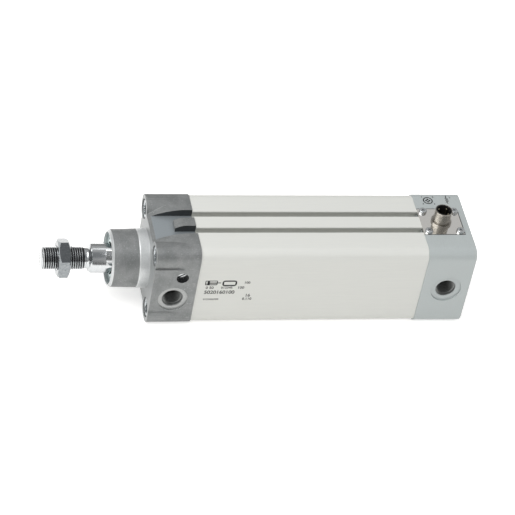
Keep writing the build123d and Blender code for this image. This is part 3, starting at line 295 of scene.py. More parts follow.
# Die lines, milling and grinding marks are finer in reality, and are drawn as coarse as they need to show.
finishes = {  # grain, relief and edge rounding in mm; "on" lists the nodes that wear the finish
    # extruded aluminium, clear anodised: pale, satin, with faint die lines along the tube
    "barrel": {"name": "clearAnodisedExtrusion", "tones": ("#DCDDD8", "#D8D9D5"), "metallic": 0.08,
               "rough": (0.42, 0.48), "grain": 0.35, "stretch": (0.02, 1, 1), "relief": 0.003, "edge": 0.15,
               "on": ["barrel"]},
    # machined aluminium, anodised: cooler and a little darker, fine milling marks
    "rearCap": {"name": "anodisedMilledAluminium", "tones": ("#B9C0C0", "#B1B7B7"), "metallic": 0.15,
                "rough": (0.38, 0.46), "grain": 0.3, "stretch": (1, 0.1, 1), "relief": 0.008, "edge": 0.3,
                "on": ["rear_cap"]},
    # zinc plated steel: bright with soft cloudy patches
    "zinc": {"name": "zincPlatedSteel", "tones": ("#D2D6D8", "#AEB4B7"), "metallic": 1.0, "rough": (0.16, 0.28),
             "grain": 0.9, "relief": 0.01, "edge": 0.2, "on": ["front_cap_screws", "rear_cap_screws", "piston_nut"]},
    # the rod's nut: the same plating over a coarser turned and pressed surface, its tones darkened as painted shade
    "nut": {"name": "zincPlatedPressedSteelPaintedShade", "tones": ("#9A9EA0", "#7B7F82"), "metallic": 1.0, "rough": (0.1, 0.18),
            "grain": 1.4, "relief": 0.02, "edge": 0.3, "on": ["rod_nut"]},
    # hard chromed and ground rod: mirror bright, faint rings from grinding
    "rod": {"name": "groundHardChrome", "tones": ("#CFD1D2", "#BDC0C2"), "metallic": 1.0, "rough": (0.12, 0.2),
            "grain": 0.12, "stretch": (1, 0.03, 0.03), "relief": 0.002, "edge": 0.12, "on": ["piston_rod"]},
    # stainless sheet, polished: reads as a mirror with a trace of brushing
    "plate": {"name": "polishedStainlessSheet", "tones": ("#F3F1ED", "#EAE8E4"), "metallic": 1.0,
              "rough": (0.05, 0.1), "grain": 0.1, "stretch": (0.05, 1, 1), "relief": 0.001,
              "on": ["connector_plate"]},
    # stainless screws: turned, bright
    "screw": {"name": "stainlessScrew", "tones": ("#DADCDD", "#C2C5C7"), "metallic": 1.0, "rough": (0.14, 0.24),
              "grain": 0.3, "relief": 0.006, "on": ["plate_screws"]},
    # nickel plated brass: bright with a warm cast
    "nickel": {"name": "nickelPlatedBrass", "tones": ("#B0ACA5", "#98948D"), "metallic": 1.0, "rough": (0.24, 0.32),
               "grain": 0.6, "relief": 0.001, "on": ["connector_nut", "connector_shell"]},
    # wiper ring, turned and passivated: bright with a green cast
    "ring": {"name": "passivatedTurnedRing", "tones": ("#A9BCBB", "#8FA6A6"), "metallic": 1.0, "rough": (0.1, 0.18),
             "grain": 0.1, "relief": 0.003, "on": ["wiper_retaining_ring"]},
    # gold plated contact pins, thinly plated and dulled by use
    "gold": {"name": "goldPlatedPin", "tones": ("#B9B39C", "#9C947A"), "metallic": 1.0, "rough": (0.25, 0.35),
             "grain": 0.2, "relief": 0.002, "on": ["connector_pins", "wiper_contacts", "sensor_leads"]},
    # sintered bronze: porous, dull
    "bronze": {"name": "sinteredBronze", "tones": ("#9A7445", "#6F5230"), "metallic": 0.9, "rough": (0.4, 0.6),
               "grain": 0.2, "relief": 0.02, "on": ["rod_bearing"]},
    # needles of free-cutting steel, turned bright, under a film of oil
    "needle": {"name": "oiledSteelNeedle", "tones": ("#D4D6D7", "#AEB0B2"), "metallic": 1.0, "rough": (0.1, 0.2),
               "grain": 0.15, "relief": 0.01, "on": ["front_needle", "rear_needle"]},
    # turned aluminium of the piston and bushes
    "turned": {"name": "turnedAluminium", "tones": ("#C9CBCC", "#B2B5B7"), "metallic": 0.95, "rough": (0.25, 0.35),
               "grain": 0.1, "stretch": (1, 0.05, 0.05), "relief": 0.006,
               "on": ["piston_front_half", "piston_rear_half", "front_cushion_bush", "rear_cushion_bush"]},
    # threads tapped in the aluminium of the ports: rough flanks
    "tapped": {"name": "tappedAluminium", "tones": ("#808281", "#5E605F"), "metallic": 0.8, "rough": (0.3, 0.45),
               "grain": 0.3, "relief": 0.01, "on": []},
    # glass filled polyamide of the connector's insert: black, slightly grainy
    "insert": {"name": "glassFilledPolyamide", "tones": ("#0B0B0B", "#121212"), "rough": (0.5, 0.65), "grain": 0.2,
               "relief": 0.01, "strength": 0.4, "on": ["connector_insert"]},
    # polyurethane seals: dark, smooth
    "seal": {"name": "mouldedPolyurethane", "tones": ("#22262A", "#2B3034"), "rough": (0.35, 0.45), "grain": 0.4,
             "relief": 0.005, "strength": 0.4,
             "on": ["rod_wiper_seal", "front_cushion_seal", "rear_cushion_seal", "front_piston_seal",
                    "rear_piston_seal", "front_stop_ring", "rear_stop_ring"]},
    # nitrile rubber: black, dull
    "rubber": {"name": "nitrileRubber", "tones": ("#161616", "#1F1F1F"), "rough": (0.5, 0.65), "grain": 0.3,
               "relief": 0.01, "strength": 0.4,
               "on": ["front_barrel_o_ring", "rear_barrel_o_ring", "front_needle_o_ring", "rear_needle_o_ring",
                      "piston_rod_o_ring", "transducer_base_o_ring", "plate_gasket"]},
    # turned acetal: dark, waxy
    "acetal": {"name": "turnedAcetal", "tones": ("#26272A", "#303235"), "rough": (0.3, 0.4), "grain": 0.2,
               "relief": 0.006, "strength": 0.4,
               "on": ["guide_ring", "wiper_carriage", "carriage_retaining_ring", "transducer_rail",
                      "transducer_base"]},
    # bonded ferrite: dark grey, powdery
    "magnet": {"name": "bondedFerrite", "tones": ("#38363A", "#2B2A2D"), "rough": (0.6, 0.75), "grain": 0.1,
               "relief": 0.02, "strength": 0.4, "on": ["magnet_ring"]},
    # printed resistive track: black with a satin shine
    "track": {"name": "printedResistiveTrack", "tones": ("#101012", "#19191C"), "rough": (0.3, 0.4), "grain": 0.05,
              "relief": 0.002, "strength": 0.4, "on": ["resistive_strip"]},
    # glass fibre laminate of the circuit board: green, glossy
    "board": {"name": "glassFibreLaminate", "tones": ("#1F5A34", "#276B3F"), "rough": (0.25, 0.35), "grain": 0.3,
              "relief": 0.01, "strength": 0.4, "on": ["circuit_board"]},
    # laser marking burnt into anodising: dull, near black, slightly uneven
    "mark": {"name": "laserMarkedAnodising", "tones": ("#101112", "#1A1B1C"), "rough": (0.6, 0.75), "grain": 0.4,
             "relief": 0.001, "strength": 0.4, "on": []},
}


def grainShare(tree, size, stretch=(1, 1, 1)):
    # noise with grains of this many millimetres, and the same noise spread to 0..1
    place = addNode(tree, "ShaderNodeTexCoord")
    mapping = addNode(tree, "ShaderNodeMapping", {"Scale": stretch}, {"Vector": place.outputs["Object"]})
    noise = addNode(tree, "ShaderNodeTexNoise", {"Scale": 1 / (size * mm), "Detail": 4.0, "Roughness": 0.6},
                    {"Vector": mapping.outputs[0]})
    span = addNode(tree, "ShaderNodeMapRange", {"From Min": 0.3, "From Max": 0.7}, {"Value": noise.outputs[0]})
    return noise.outputs[0], span.outputs[0]


def grainFinish(look):
    material, tree, shader = newMaterial(look["name"], {"Metallic": look.get("metallic", 0.0)})
    noise, span = grainShare(tree, look["grain"], look.get("stretch", (1, 1, 1)))
    tones = addNode(tree, "ShaderNodeMix", {"data_type": "RGBA", 6: toLinear(look["tones"][0]),
                                            7: toLinear(look["tones"][1])}, {0: span})
    rough = addNode(tree, "ShaderNodeMapRange", {"To Min": look["rough"][0], "To Max": look["rough"][1]},
                    {"Value": span})
    bump = addNode(tree, "ShaderNodeBump", {"Strength": look.get("strength", 0.5), "Distance": look["relief"] * mm},
                   {"Height": noise})
    if "edge" in look:
        rounded = addNode(tree, "ShaderNodeBevel", {"samples": 4, "Radius": look["edge"] * mm})
        tree.links.new(rounded.outputs[0], bump.inputs["Normal"])
    tree.links.new(tones.outputs[2], shader.inputs["Base Color"])
    tree.links.new(rough.outputs[0], shader.inputs["Roughness"])
    tree.links.new(bump.outputs[0], shader.inputs["Normal"])
    return material


mixed = {}
for key, look in finishes.items():
    mixed[key] = grainFinish(look)
    paint(look["on"], mixed[key])
print("finishes mixed:", len(mixed))


# Regions of a surface that are finished another way, or painted with shade

def regionShare(tree, region):
    # 1 inside limits in mm, with edges 0.05 mm soft: x, y, z; offY and offZ, either side of the axis;
    # radius from the axis; bore, a cylinder along Y at an x and z; faces, an axis and the least cosine
    soft, softCosine = 0.05, 0.02
    place = addNode(tree, "ShaderNodeTexCoord").outputs["Object"]
    axes = addNode(tree, "ShaderNodeSeparateXYZ", links={0: place}).outputs
    shares = []
    for key, limits in region.items():
        if key == "faces":
            surface = addNode(tree, "ShaderNodeNewGeometry")
            turned = addNode(tree, "ShaderNodeVectorTransform",
                             {"vector_type": "NORMAL", "convert_from": "WORLD", "convert_to": "OBJECT"},
                             {0: surface.outputs["True Normal"]})
            parts = addNode(tree, "ShaderNodeSeparateXYZ", links={0: turned.outputs[0]})
            cosine = addNode(tree, "ShaderNodeMath", {"operation": "ABSOLUTE"}, {0: parts.outputs[limits[0]]})
            shares.append(addNode(tree, "ShaderNodeMapRange", {"From Min": limits[1],
                                                               "From Max": limits[1] + softCosine},
                                  {"Value": cosine.outputs[0]}))
            continue
        if key == "bore":
            low, high = None, limits[2]
            keep, away = (1, 0, 1), (-limits[0] * mm, 0, -limits[1] * mm)
        else:
            low, high = limits
            keep, away = (0, 1, 1), (0, 0, 0)
        if key in ("radius", "bore"):
            across = addNode(tree, "ShaderNodeVectorMath", {"operation": "MULTIPLY_ADD", 1: keep, 2: away},
                             {0: place})
            value = addNode(tree, "ShaderNodeVectorMath", {"operation": "LENGTH"}, {0: across.outputs[0]})
            value = value.outputs["Value"]
        elif key in ("offY", "offZ"):
            value = addNode(tree, "ShaderNodeMath", {"operation": "ABSOLUTE"}, {0: axes[key[-1]]}).outputs[0]
        else:
            value = axes[key.upper()]
        if low is not None:
            shares.append(addNode(tree, "ShaderNodeMapRange", {"From Min": (low - soft) * mm, "From Max": low * mm},
                                  {"Value": value}))
        shares.append(addNode(tree, "ShaderNodeMapRange", {"From Min": high * mm, "From Max": (high + soft) * mm,
                                                           "To Min": 1.0, "To Max": 0.0}, {"Value": value}))
    whole = shares[0]
    for share in shares[1:]:
        whole = addNode(tree, "ShaderNodeMath", {"operation": "MULTIPLY"}, {0: whole.outputs[0], 1: share.outputs[0]})
    return whole.outputs[0]


def regionsShare(tree, regions):
    whole = regionShare(tree, regions[0])
    for region in regions[1:]:
        other = regionShare(tree, region)
        whole = addNode(tree, "ShaderNodeMath", {"operation": "MAXIMUM"}, {0: whole, 1: other}).outputs[0]
    return whole


# mixes painted shade into a material's colour within the regions
def paintShade(material, hexColor, regions):
    tree = material.node_tree
    shader = tree.nodes["Principled BSDF"]
    tones = addNode(tree, "ShaderNodeMix", {"data_type": "RGBA", 7: toLinear(hexColor)},
                    {0: regionsShare(tree, regions), 6: shader.inputs["Base Color"].links[0].from_socket})
    tree.links.new(tones.outputs[2], shader.inputs["Base Color"])


# roots of the rod's thread: painted shade in the grooves, and the oil and dust that stay there
paintShade(mixed["rod"], "#454748", [{"radius": (7.0, 7.4), "x": (-69.4, -41.6)}])
# painted shade inside the sensor slots
paintShade(mixed["barrel"], "#C4C5C0", [{"offY": (None, 14), "offZ": (None, 31.3)},
                                  {"offZ": (None, 14), "offY": (None, 31.3)}])
# painted shade in the pocket under the connector plate, seen as a dark line round it
paintShade(mixed["rearCap"], "#1D1E1F", [{"x": (187, 216), "offY": (None, 16), "z": (18, 32.3)}])
# painted shade in the bore of the rear port
paintShade(mixed["rearCap"], "#5A5C5C", [{"bore": (203.2, 0.0, 6.9), "y": (-31.0, -10)}])


# Front cap: blasted aluminium casting with milled channels, a turned pilot, boss rim and port seat

casting = {
    "name": "blastedCastAluminium",
    "tones": ("#979999", "#6D7070"),
    "speck": "#C9CBCB",  # bright grains and worn edges
    "metallic": 0.45,
    "rough": (0.42, 0.58),
    "grit": 0.45,  # mm, grains of the blasted skin, drawn coarser than they are so that they show
    "patch": 9.0,  # mm, uneven tone of the casting
    "toneShares": (0.45, 0.55),  # of the grit and of the patches
    "speckGrain": 0.8,  # mm
    "speckFrom": (0.62, 0.7),  # of the noise, where bright grains start and are full
    "speckShare": 0.7,
    "wornFrom": (0.99, 0.85),  # cosine between the rounded and the plain surface
    "wornShare": 0.6,
    "relief": 0.05,  # mm
    "strength": 0.7,
    "edge": 0.45,  # mm, rounding of the cast edges
    "areas": [  # two tones, a roughness and the regions that wear them
        # channel floors, cooler
        (("#A0A6AA", "#929A9E"), 0.4, [
            {"offZ": (26.9, 27.3), "faces": ("Z", 0.9), "offY": (None, 11.7), "x": (-0.5, 31)},
            {"y": (26.9, 27.3), "faces": ("Y", 0.9), "offZ": (None, 11.7), "x": (-0.5, 31)}]),
        # upright walls of the channels and of their tongues: painted shade, dark
        (("#4A4D4F", "#3B3E40"), 0.45, [
            {"offZ": (27.15, 32.6), "faces": ("Y", 0.95), "offY": (3.8, 11.8), "x": (-0.5, 31)},
            {"offY": (27.15, 32.6), "faces": ("Z", 0.95), "offZ": (3.8, 11.8), "x": (-0.5, 31)}]),
        # mounting face
        (("#A6A9A9", "#999C9D"), 0.38, [{"x": (-0.05, 0.05), "faces": ("X", 0.9)}]),
        # pilot ring, its step, boss rim and the seats inside, turned
        (("#DCDEDE", "#C4C7C8"), 0.34, [
            {"x": (-6.75, -0.05), "radius": (19.75, 20.2)}, {"x": (-6.9, -6.2), "radius": (19.0, 20.2)},
            {"x": (-26, -23.9), "radius": (17.0, 19.35)}, {"x": (-26, 40), "radius": (None, 18.2)}]),
        # seat round the port
        (("#BFC1C0", "#8B8D8C"), 0.36, [{"bore": (15.1, -7.5, 10.05), "y": (-31.7, -31.3)}]),
        # bore of the port, darkened: painted shade
        (("#6E706F", "#505251"), 0.4, [{"bore": (15.1, -7.5, 6.9), "y": (-31.0, -10)}]),
        # hole of the needle: painted shade, near black
        (("#2E2F30", "#242526"), 0.4, [{"bore": (19.4, 11.3, 4.3), "y": (-32.3, -15)}]),
    ],
}


def castFinish(look):
    material, tree, shader = newMaterial(look["name"], {"Metallic": look["metallic"]})
    noise, span = grainShare(tree, look["grit"])
    patches = grainShare(tree, look["patch"])[1]
    share = addNode(tree, "ShaderNodeMath", {"operation": "MULTIPLY", 1: look["toneShares"][0]}, {0: span})
    share = addNode(tree, "ShaderNodeMath", {"operation": "MULTIPLY_ADD", 1: look["toneShares"][1]},
                    {0: patches, 2: share.outputs[0]})
    tones = addNode(tree, "ShaderNodeMix", {"data_type": "RGBA", 6: toLinear(look["tones"][0]),
                                            7: toLinear(look["tones"][1])}, {0: share.outputs[0]})
    rough = addNode(tree, "ShaderNodeMapRange", {"To Min": look["rough"][0], "To Max": look["rough"][1]},
                    {"Value": span})
    # bright grains, and edges rubbed bright in handling
    grains = grainShare(tree, look["speckGrain"])[0]
    specks = addNode(tree, "ShaderNodeMapRange", {"From Min": look["speckFrom"][0], "From Max": look["speckFrom"][1],
                                                 "To Max": look["speckShare"]}, {"Value": grains})
    rounded = addNode(tree, "ShaderNodeBevel", {"samples": 6, "Radius": look["edge"] * mm})
    surface = addNode(tree, "ShaderNodeNewGeometry")
    bend = addNode(tree, "ShaderNodeVectorMath", {"operation": "DOT_PRODUCT"},
                   {0: rounded.outputs[0], 1: surface.outputs["Normal"]})
    worn = addNode(tree, "ShaderNodeMapRange", {"From Min": look["wornFrom"][0], "From Max": look["wornFrom"][1],
                                               "To Max": look["wornShare"]}, {"Value": bend.outputs["Value"]})
    bright = addNode(tree, "ShaderNodeMath", {"operation": "MAXIMUM"}, {0: specks.outputs[0], 1: worn.outputs[0]})
    tones = addNode(tree, "ShaderNodeMix", {"data_type": "RGBA", 7: toLinear(look["speck"])},
                    {0: bright.outputs[0], 6: tones.outputs[2]})
    color, roughness = tones.outputs[2], rough.outputs[0]
    for pair, roughValue, regions in look["areas"]:
        share = regionsShare(tree, regions)
        other = addNode(tree, "ShaderNodeMix", {"data_type": "RGBA", 6: toLinear(pair[0]), 7: toLinear(pair[1])},
                        {0: span})
        color = addNode(tree, "ShaderNodeMix", {"data_type": "RGBA"}, {0: share, 6: color, 7: other.outputs[2]})
        color = color.outputs[2]
        roughness = addNode(tree, "ShaderNodeMix", {"data_type": "FLOAT", 3: roughValue}, {0: share, 2: roughness})
        roughness = roughness.outputs[0]
    bump = addNode(tree, "ShaderNodeBump", {"Strength": look["strength"], "Distance": look["relief"] * mm},
                   {"Height": noise, "Normal": rounded.outputs[0]})
    tree.links.new(color, shader.inputs["Base Color"])
    tree.links.new(roughness, shader.inputs["Roughness"])
    tree.links.new(bump.outputs[0], shader.inputs["Normal"])
    return material


paint(["front_cap"], castFinish(casting))
print("casting finished")


# Screw threads, as ridges that follow a spiral

def sizedTree(name, sizes):
    # a Geometry Nodes tree with one named input for each size
    tree = bpy.data.node_groups.new(name, "GeometryNodeTree")
    tree.interface.new_socket(name="Geometry", in_out="OUTPUT", socket_type="NodeSocketGeometry")
    tree.interface.new_socket(name="Geometry", in_out="INPUT", socket_type="NodeSocketGeometry")
    for label in sizes:
        tree.interface.new_socket(name=label, in_out="INPUT", socket_type="NodeSocketFloat")
    tree.interface.new_socket(name="Finish", in_out="INPUT", socket_type="NodeSocketMaterial")
    return tree, addNode(tree, "NodeGroupInput").outputs


def runTree(tree, values, base=None):
    # the plain mesh that the tree makes with these values
    holder = bpy.data.objects.new(tree.name, base or bpy.data.meshes.new(tree.name))
    scene.collection.objects.link(holder)
    modifier = holder.modifiers.new(tree.name, "NODES")
    modifier.node_group = tree
    for item in tree.interface.items_tree:
        if item.in_out == "INPUT" and item.name in values:
            modifier[item.identifier] = values[item.name]
    made = bpy.data.meshes.new_from_object(holder.evaluated_get(bpy.context.evaluated_depsgraph_get()))
    holder.modifiers.remove(modifier)
    bpy.data.objects.remove(holder)
    return made


threadTree, sizes = sizedTree("threadRidge", ("Pitch", "Turns", "Root Radius", "Depth", "Root Width", "Crest Width"))
# depth is outwards where positive, inwards in a nut or a port
rise = addNode(threadTree, "ShaderNodeMath", {"operation": "MULTIPLY"}, {0: sizes["Pitch"], 1: sizes["Turns"]})
spiral = addNode(threadTree, "GeometryNodeCurveSpiral", {"Resolution": 60, "Reverse": True},
                 {"Rotations": sizes["Turns"], "Start Radius": sizes["Root Radius"],
                  "End Radius": sizes["Root Radius"], "Height": rise.outputs[0]})
path = addNode(threadTree, "GeometryNodeSetCurveNormal", {"mode": "Z_UP"}, {"Curve": spiral.outputs[0]})
height = addNode(threadTree, "ShaderNodeMath", {"operation": "ABSOLUTE"}, {0: sizes["Depth"]})
flank = addNode(threadTree, "GeometryNodeCurvePrimitiveQuadrilateral", {"mode": "TRAPEZOID", "Offset": 0.0},
                {"Height": height.outputs[0], "Bottom Width": sizes["Root Width"], "Top Width": sizes["Crest Width"]})
side = addNode(threadTree, "ShaderNodeMath", {"operation": "SIGN"}, {0: sizes["Depth"]})
quarter = addNode(threadTree, "ShaderNodeMath", {"operation": "MULTIPLY", 1: -math.pi / 2}, {0: side.outputs[0]})
spin = addNode(threadTree, "ShaderNodeCombineXYZ", links={"Z": quarter.outputs[0]})
halfDepth = addNode(threadTree, "ShaderNodeMath", {"operation": "MULTIPLY", 1: 0.5}, {0: sizes["Depth"]})
outward = addNode(threadTree, "ShaderNodeCombineXYZ", links={"X": halfDepth.outputs[0]})
flank = addNode(threadTree, "GeometryNodeTransform", {}, {"Geometry": flank.outputs[0],
                                                          "Translation": outward.outputs[0],
                                                          "Rotation": spin.outputs[0]})
along = addNode(threadTree, "GeometryNodeSplineParameter")
turnsDone = addNode(threadTree, "ShaderNodeMath", {"operation": "MULTIPLY"},
                    {0: along.outputs["Factor"], 1: sizes["Turns"]})
turnsLeft = addNode(threadTree, "ShaderNodeMath", {"operation": "SUBTRACT"},
                    {0: sizes["Turns"], 1: turnsDone.outputs[0]})
nearEnd = addNode(threadTree, "ShaderNodeMath", {"operation": "MINIMUM"},
                  {0: turnsDone.outputs[0], 1: turnsLeft.outputs[0]})
taper = addNode(threadTree, "ShaderNodeMapRange", {"From Max": 0.7, "To Min": 0.05}, {"Value": nearEnd.outputs[0]})
ridge = addNode(threadTree, "GeometryNodeCurveToMesh", {"Fill Caps": True},
                {"Curve": path.outputs[0], "Profile Curve": flank.outputs[0], "Scale": taper.outputs[0]})
whole = addNode(threadTree, "GeometryNodeRealizeInstances", links={"Geometry": ridge.outputs[0]})
finished = addNode(threadTree, "GeometryNodeSetMaterial", {}, {"Geometry": whole.outputs[0],
                                                               "Material": sizes["Finish"]})
addNode(threadTree, "NodeGroupOutput", links={0: finished.outputs[0]})

squareTree, sizes = sizedTree("screwSquare", ("Size X", "Size Y"))
grid = addNode(squareTree, "GeometryNodeMeshGrid", {"Vertices X": 2, "Vertices Y": 2},
               {"Size X": sizes["Size X"], "Size Y": sizes["Size Y"]})
copies = addNode(squareTree, "GeometryNodeInstanceOnPoints", {}, {"Points": grid.outputs[0],
                                                                  "Instance": sizes["Geometry"]})
whole = addNode(squareTree, "GeometryNodeRealizeInstances", links={"Geometry": copies.outputs[0]})
finished = addNode(squareTree, "GeometryNodeSetMaterial", {}, {"Geometry": whole.outputs[0],
                                                               "Material": sizes["Finish"]})
addNode(squareTree, "NodeGroupOutput", links={0: finished.outputs[0]})


def ridgeMesh(look, finish):
    values = {key: value * mm for key, value in look.items()}
    values["Turns"] = look["Turns"]
    values["Finish"] = finish
    return runTree(threadTree, values)


def cadCopy(nodeName):
    # a merged copy of a CAD piece's surface
    bm = bmesh.new()
    bm.from_mesh(nodes[nodeName].data)
    bmesh.ops.remove_doubles(bm, verts=bm.verts, dist=1e-7)
    return bm


# Rod: its end carries the M16x1.5 thread, so that end is made anew in front of the undercut

rodEnd = {
    "tip": -70.5,
    "undercut": -40.4,  # where the undercut starts
    "undercutRadius": 6.9,
    "undercutSlope": 0.2,
    "coreRadius": 7.08,
    "chamfer": 0.9,
    "lead": 0.75,  # from the tip to the thread's start
    "thread": {"Pitch": 1.5, "Turns": 18.6, "Root Radius": 7.05, "Depth": 0.95, "Root Width": 1.32,
               "Crest Width": 0.2},
}

bm = cadCopy("piston_rod")
cutAt = (rodEnd["undercut"] + 0.01) * mm  # just past the undercut's start, so that its faces count as in front
bmesh.ops.delete(bm, geom=[f for f in bm.faces if f.calc_center_median().x < cutAt], context="FACES")
bmesh.ops.holes_fill(bm, edges=[e for e in bm.edges if e.is_boundary], sides=0)
bmesh.ops.delete(bm, geom=[v for v in bm.verts if not v.link_faces], context="VERTS")
rodBody = bpy.data.meshes.new("rodBody")
bm.to_mesh(rodBody)
bm.free()
tip = rodEnd["tip"]
core = lathe([(tip, 0), (tip, rodEnd["coreRadius"] - rodEnd["chamfer"]),
              (tip + rodEnd["chamfer"], rodEnd["coreRadius"]),
              (rodEnd["undercut"] - rodEnd["undercutSlope"], rodEnd["coreRadius"]),
              (rodEnd["undercut"], rodEnd["undercutRadius"]), (rodEnd["undercut"], 0)], 96, close=False)
placed(core, alongX, 0, 0, 0)
ridge = placed(ridgeMesh(rodEnd["thread"], mixed["rod"]), alongX, tip + rodEnd["lead"], 0, 0)
rodMesh = joinMeshes("rodWithThread", [rodBody, core, ridge])
smoothByAngle(rodMesh)
addPiece("rodWithThread", rodMesh, mixed["rod"], "rod", ["piston_rod"])
print("rod threaded")


# Threads in the ports, and for the mountings in the heads of the cap screws

portThread = {"Pitch": 1.337, "Turns": 8.6, "Root Radius": 6.61, "Depth": -0.86, "Root Width": 1.2,
              "Crest Width": 0.25}
portPlaces = {"front": (15.1, -30.65, -7.5), "rear": (203.2, -30.65, 0.0)}
for end, place in portPlaces.items():
    ridge = placed(ridgeMesh(portThread, mixed["tapped"]), alongY, *place)
    smoothByAngle(ridge)
    addPiece(end + "PortThread", ridge, mixed["tapped"], "cylinder_body")

mountThread = {"Pitch": 1.25, "Turns": 11.6, "Root Radius": 4.02, "Depth": -0.66, "Root Width": 1.1,
               "Crest Width": 0.2}
mountSpacing = 46.5
mountStarts = {"front": (1.3, 90), "rear": (218.2, -90)}  # where each thread starts along X, and its turn about Y
ridge = ridgeMesh(mountThread, mixed["zinc"])
square = runTree(squareTree, {"Size X": mountSpacing * mm, "Size Y": mountSpacing * mm, "Finish": mixed["zinc"]},
                 ridge)
for end, (x, way) in mountStarts.items():
    threads = placed(square.copy(), Matrix.Rotation(math.radians(way), 4, "Y"), x, 0, 0)
    smoothByAngle(threads)
    addPiece(end + "MountThreads", threads, mixed["zinc"], "cylinder_body")
print("ports and screw heads threaded")


# Connector collar with its M12x1 thread

collar = {
    "x": 200.5,
    "threadFoot": 34.1,
    "profile": [  # height and radius: tail under the plate, flange, sleeve, rim, socket
        (26.5, 4.52), (26.5, 5.4), (32.5, 5.4), (32.5, 6.85), (32.65, 7.0), (33.75, 7.0), (33.9, 6.85), (33.9, 5.74),
        (42.5, 5.74), (42.75, 5.85), (42.95, 5.8), (43.0, 5.7), (43.0, 5.45), (42.95, 5.4), (34.2, 5.4), (34.2, 4.52),
    ],
    # drawn shallower than an M12x1 thread, because the photograph shows the collar nearly smooth
    "thread": {"Pitch": 1.0, "Turns": 8.2, "Root Radius": 5.7, "Depth": 0.13, "Root Width": 0.8, "Crest Width": 0.4},
}
collarCore = placed(lathe(collar["profile"], 96), Matrix(), collar["x"], 0, 0)
ridge = placed(ridgeMesh(collar["thread"], mixed["nickel"]), Matrix(), collar["x"], 0, collar["threadFoot"])
collarMesh = joinMeshes("connectorCollar", [collarCore, ridge])
smoothByAngle(collarMesh)
addPiece("connectorCollar", collarMesh, mixed["nickel"], "cylinder_body", ["connector_shell"])
print("connector threaded")


# Plate screws: pan heads with a cross recess

panHead = {
    "radius": 2.75,
    "height": 1.8,
    "dome": 0.8,
    "rimChamfer": 0.12,
    "shank": 1.5,
    "length": 8.0,
    "arm": 1.45,  # reach of the recess
    "armWidth": 0.62,
    "recess": 1.25,
    "recessFoot": (0.5, 0.55),  # the recess's reach and width at its foot, as shares
    "turn": 28.0,  # degrees
    "spacing": (22.1, 20.0),
    "middle": (200.85, 0, 32.5),
}


def panHeadMesh(look):
    steps = 48
    flat = look["radius"] - look["dome"]
    rim = [(look["height"] - look["dome"] * (1 - math.cos(a)), flat + look["dome"] * math.sin(a))
           for a in (math.radians(d) for d in (0, 15, 30, 45, 60, 75, 90))]
    body = lathe(rim + [(look["rimChamfer"], look["radius"]), (0, look["radius"] - look["rimChamfer"]),
                        (0, look["shank"]), (-look["length"], look["shank"]), (-look["length"], 0)],
                 steps, close=False)
    bm = bmesh.new()
    bm.from_mesh(body)
    cross = []
    reachShare, widthShare = look["recessFoot"]
    for reach, width, height in (
            (look["arm"], look["armWidth"], look["height"]),
            (look["arm"] * reachShare, look["armWidth"] * widthShare, look["height"] - look["recess"])):
        corners = []
        for arm in range(4):
            spin = Matrix.Rotation(math.radians(90 * arm + look["turn"]), 4, "Z")
            for u, v in ((width / 2, -width / 2), (reach, -width / 2), (reach, width / 2)):
                corners.append(bm.verts.new(spin @ Vector((u, v, 0)) * mm + Vector((0, 0, height * mm))))
        cross.append(corners)
    upper, lower = cross
    for i in range(len(upper)):
        j = (i + 1) % len(upper)
        bm.faces.new((upper[i], upper[j], lower[j], lower[i]))
    bm.faces.new(lower)
    topEdges = [e for e in bm.edges if e.is_boundary]
    bmesh.ops.triangle_fill(bm, use_beauty=True, use_dissolve=False, edges=topEdges)
    bmesh.ops.recalc_face_normals(bm, faces=bm.faces)
    mesh = bpy.data.meshes.new("panHead")
    bm.to_mesh(mesh)
    bm.free()
    return mesh


heads = runTree(squareTree, {"Size X": panHead["spacing"][0] * mm, "Size Y": panHead["spacing"][1] * mm,
                             "Finish": mixed["screw"]}, panHeadMesh(panHead))
placed(heads, Matrix(), *panHead["middle"])
smoothByAngle(heads)
addPiece("crossHeadScrews", heads, mixed["screw"], "cylinder_body", ["plate_screws"])
print("plate screws made")


# Laser marks on the barrel's side and on the rear cap: plain numbers and plain symbols

marks = {
    "lift": 0.02,  # mm above the surface
    "side": -32.0,  # the barrel's side
    "top": 32.5,  # the rear cap's top
    # drawing of a cylinder: its outline, and its piston, rod and cushion as strokes from point to point
    "drawing": [(35.6, 4.9), (43.4, 4.9), (43.4, 8.4), (35.6, 8.4)],
    "drawingWidth": 0.6,
    "drawnParts": [  # the last number is the stroke's width
        (37.6, 4.9, 37.6, 8.4, 1.6), (38.2, 6.65, 46.0, 6.65, 0.7), (35.6, 5.8, 43.4, 5.8, 0.5)],
    "box": (47.6, 4.2, 56.4, 8.2, 1.0),  # left, foot, right, head and corner radius
    "boxWidth": 1.15,
    "socket": (196.1, 21.5),
    "socketRing": (3.1, 0.85),  # radius, and width of the line
    "pin": (1.2, 0.75),  # distance from the middle, and radius
    "zigzagWidth": 0.55,
    "zigzag": [(209.8, 18.4), (209.8, 19.6), (208.7, 20.1), (210.9, 21.1), (208.7, 22.1), (210.9, 23.1),
               (208.7, 24.1), (209.8, 24.6), (209.8, 26.6)],
    "numbers": [  # words, height of the figures, left, foot
        ("100", 2.0, 61.8, 5.9), ("0 50", 2.2, 36.2, 1.3), ("012345", 1.9, 46.6, 1.4), ("100", 2.2, 57.9, 1.3),
        ("5020160100", 3.0, 35.6, -3.2), ("0123456789", 1.5, 35.9, -8.9), ("16", 2.6, 64.0, -6.0),
        ("0.110", 2.1, 62.5, -8.9),
    ],
    "capNumbers": [("1", 1.5, 192.0, 24.4), ("2", 1.5, 199.8, 24.4), ("3", 1.5, 199.6, 17.4), ("4", 1.5, 191.6, 17.4),
                   ("5", 1.5, 211.8, 24.0)],
}


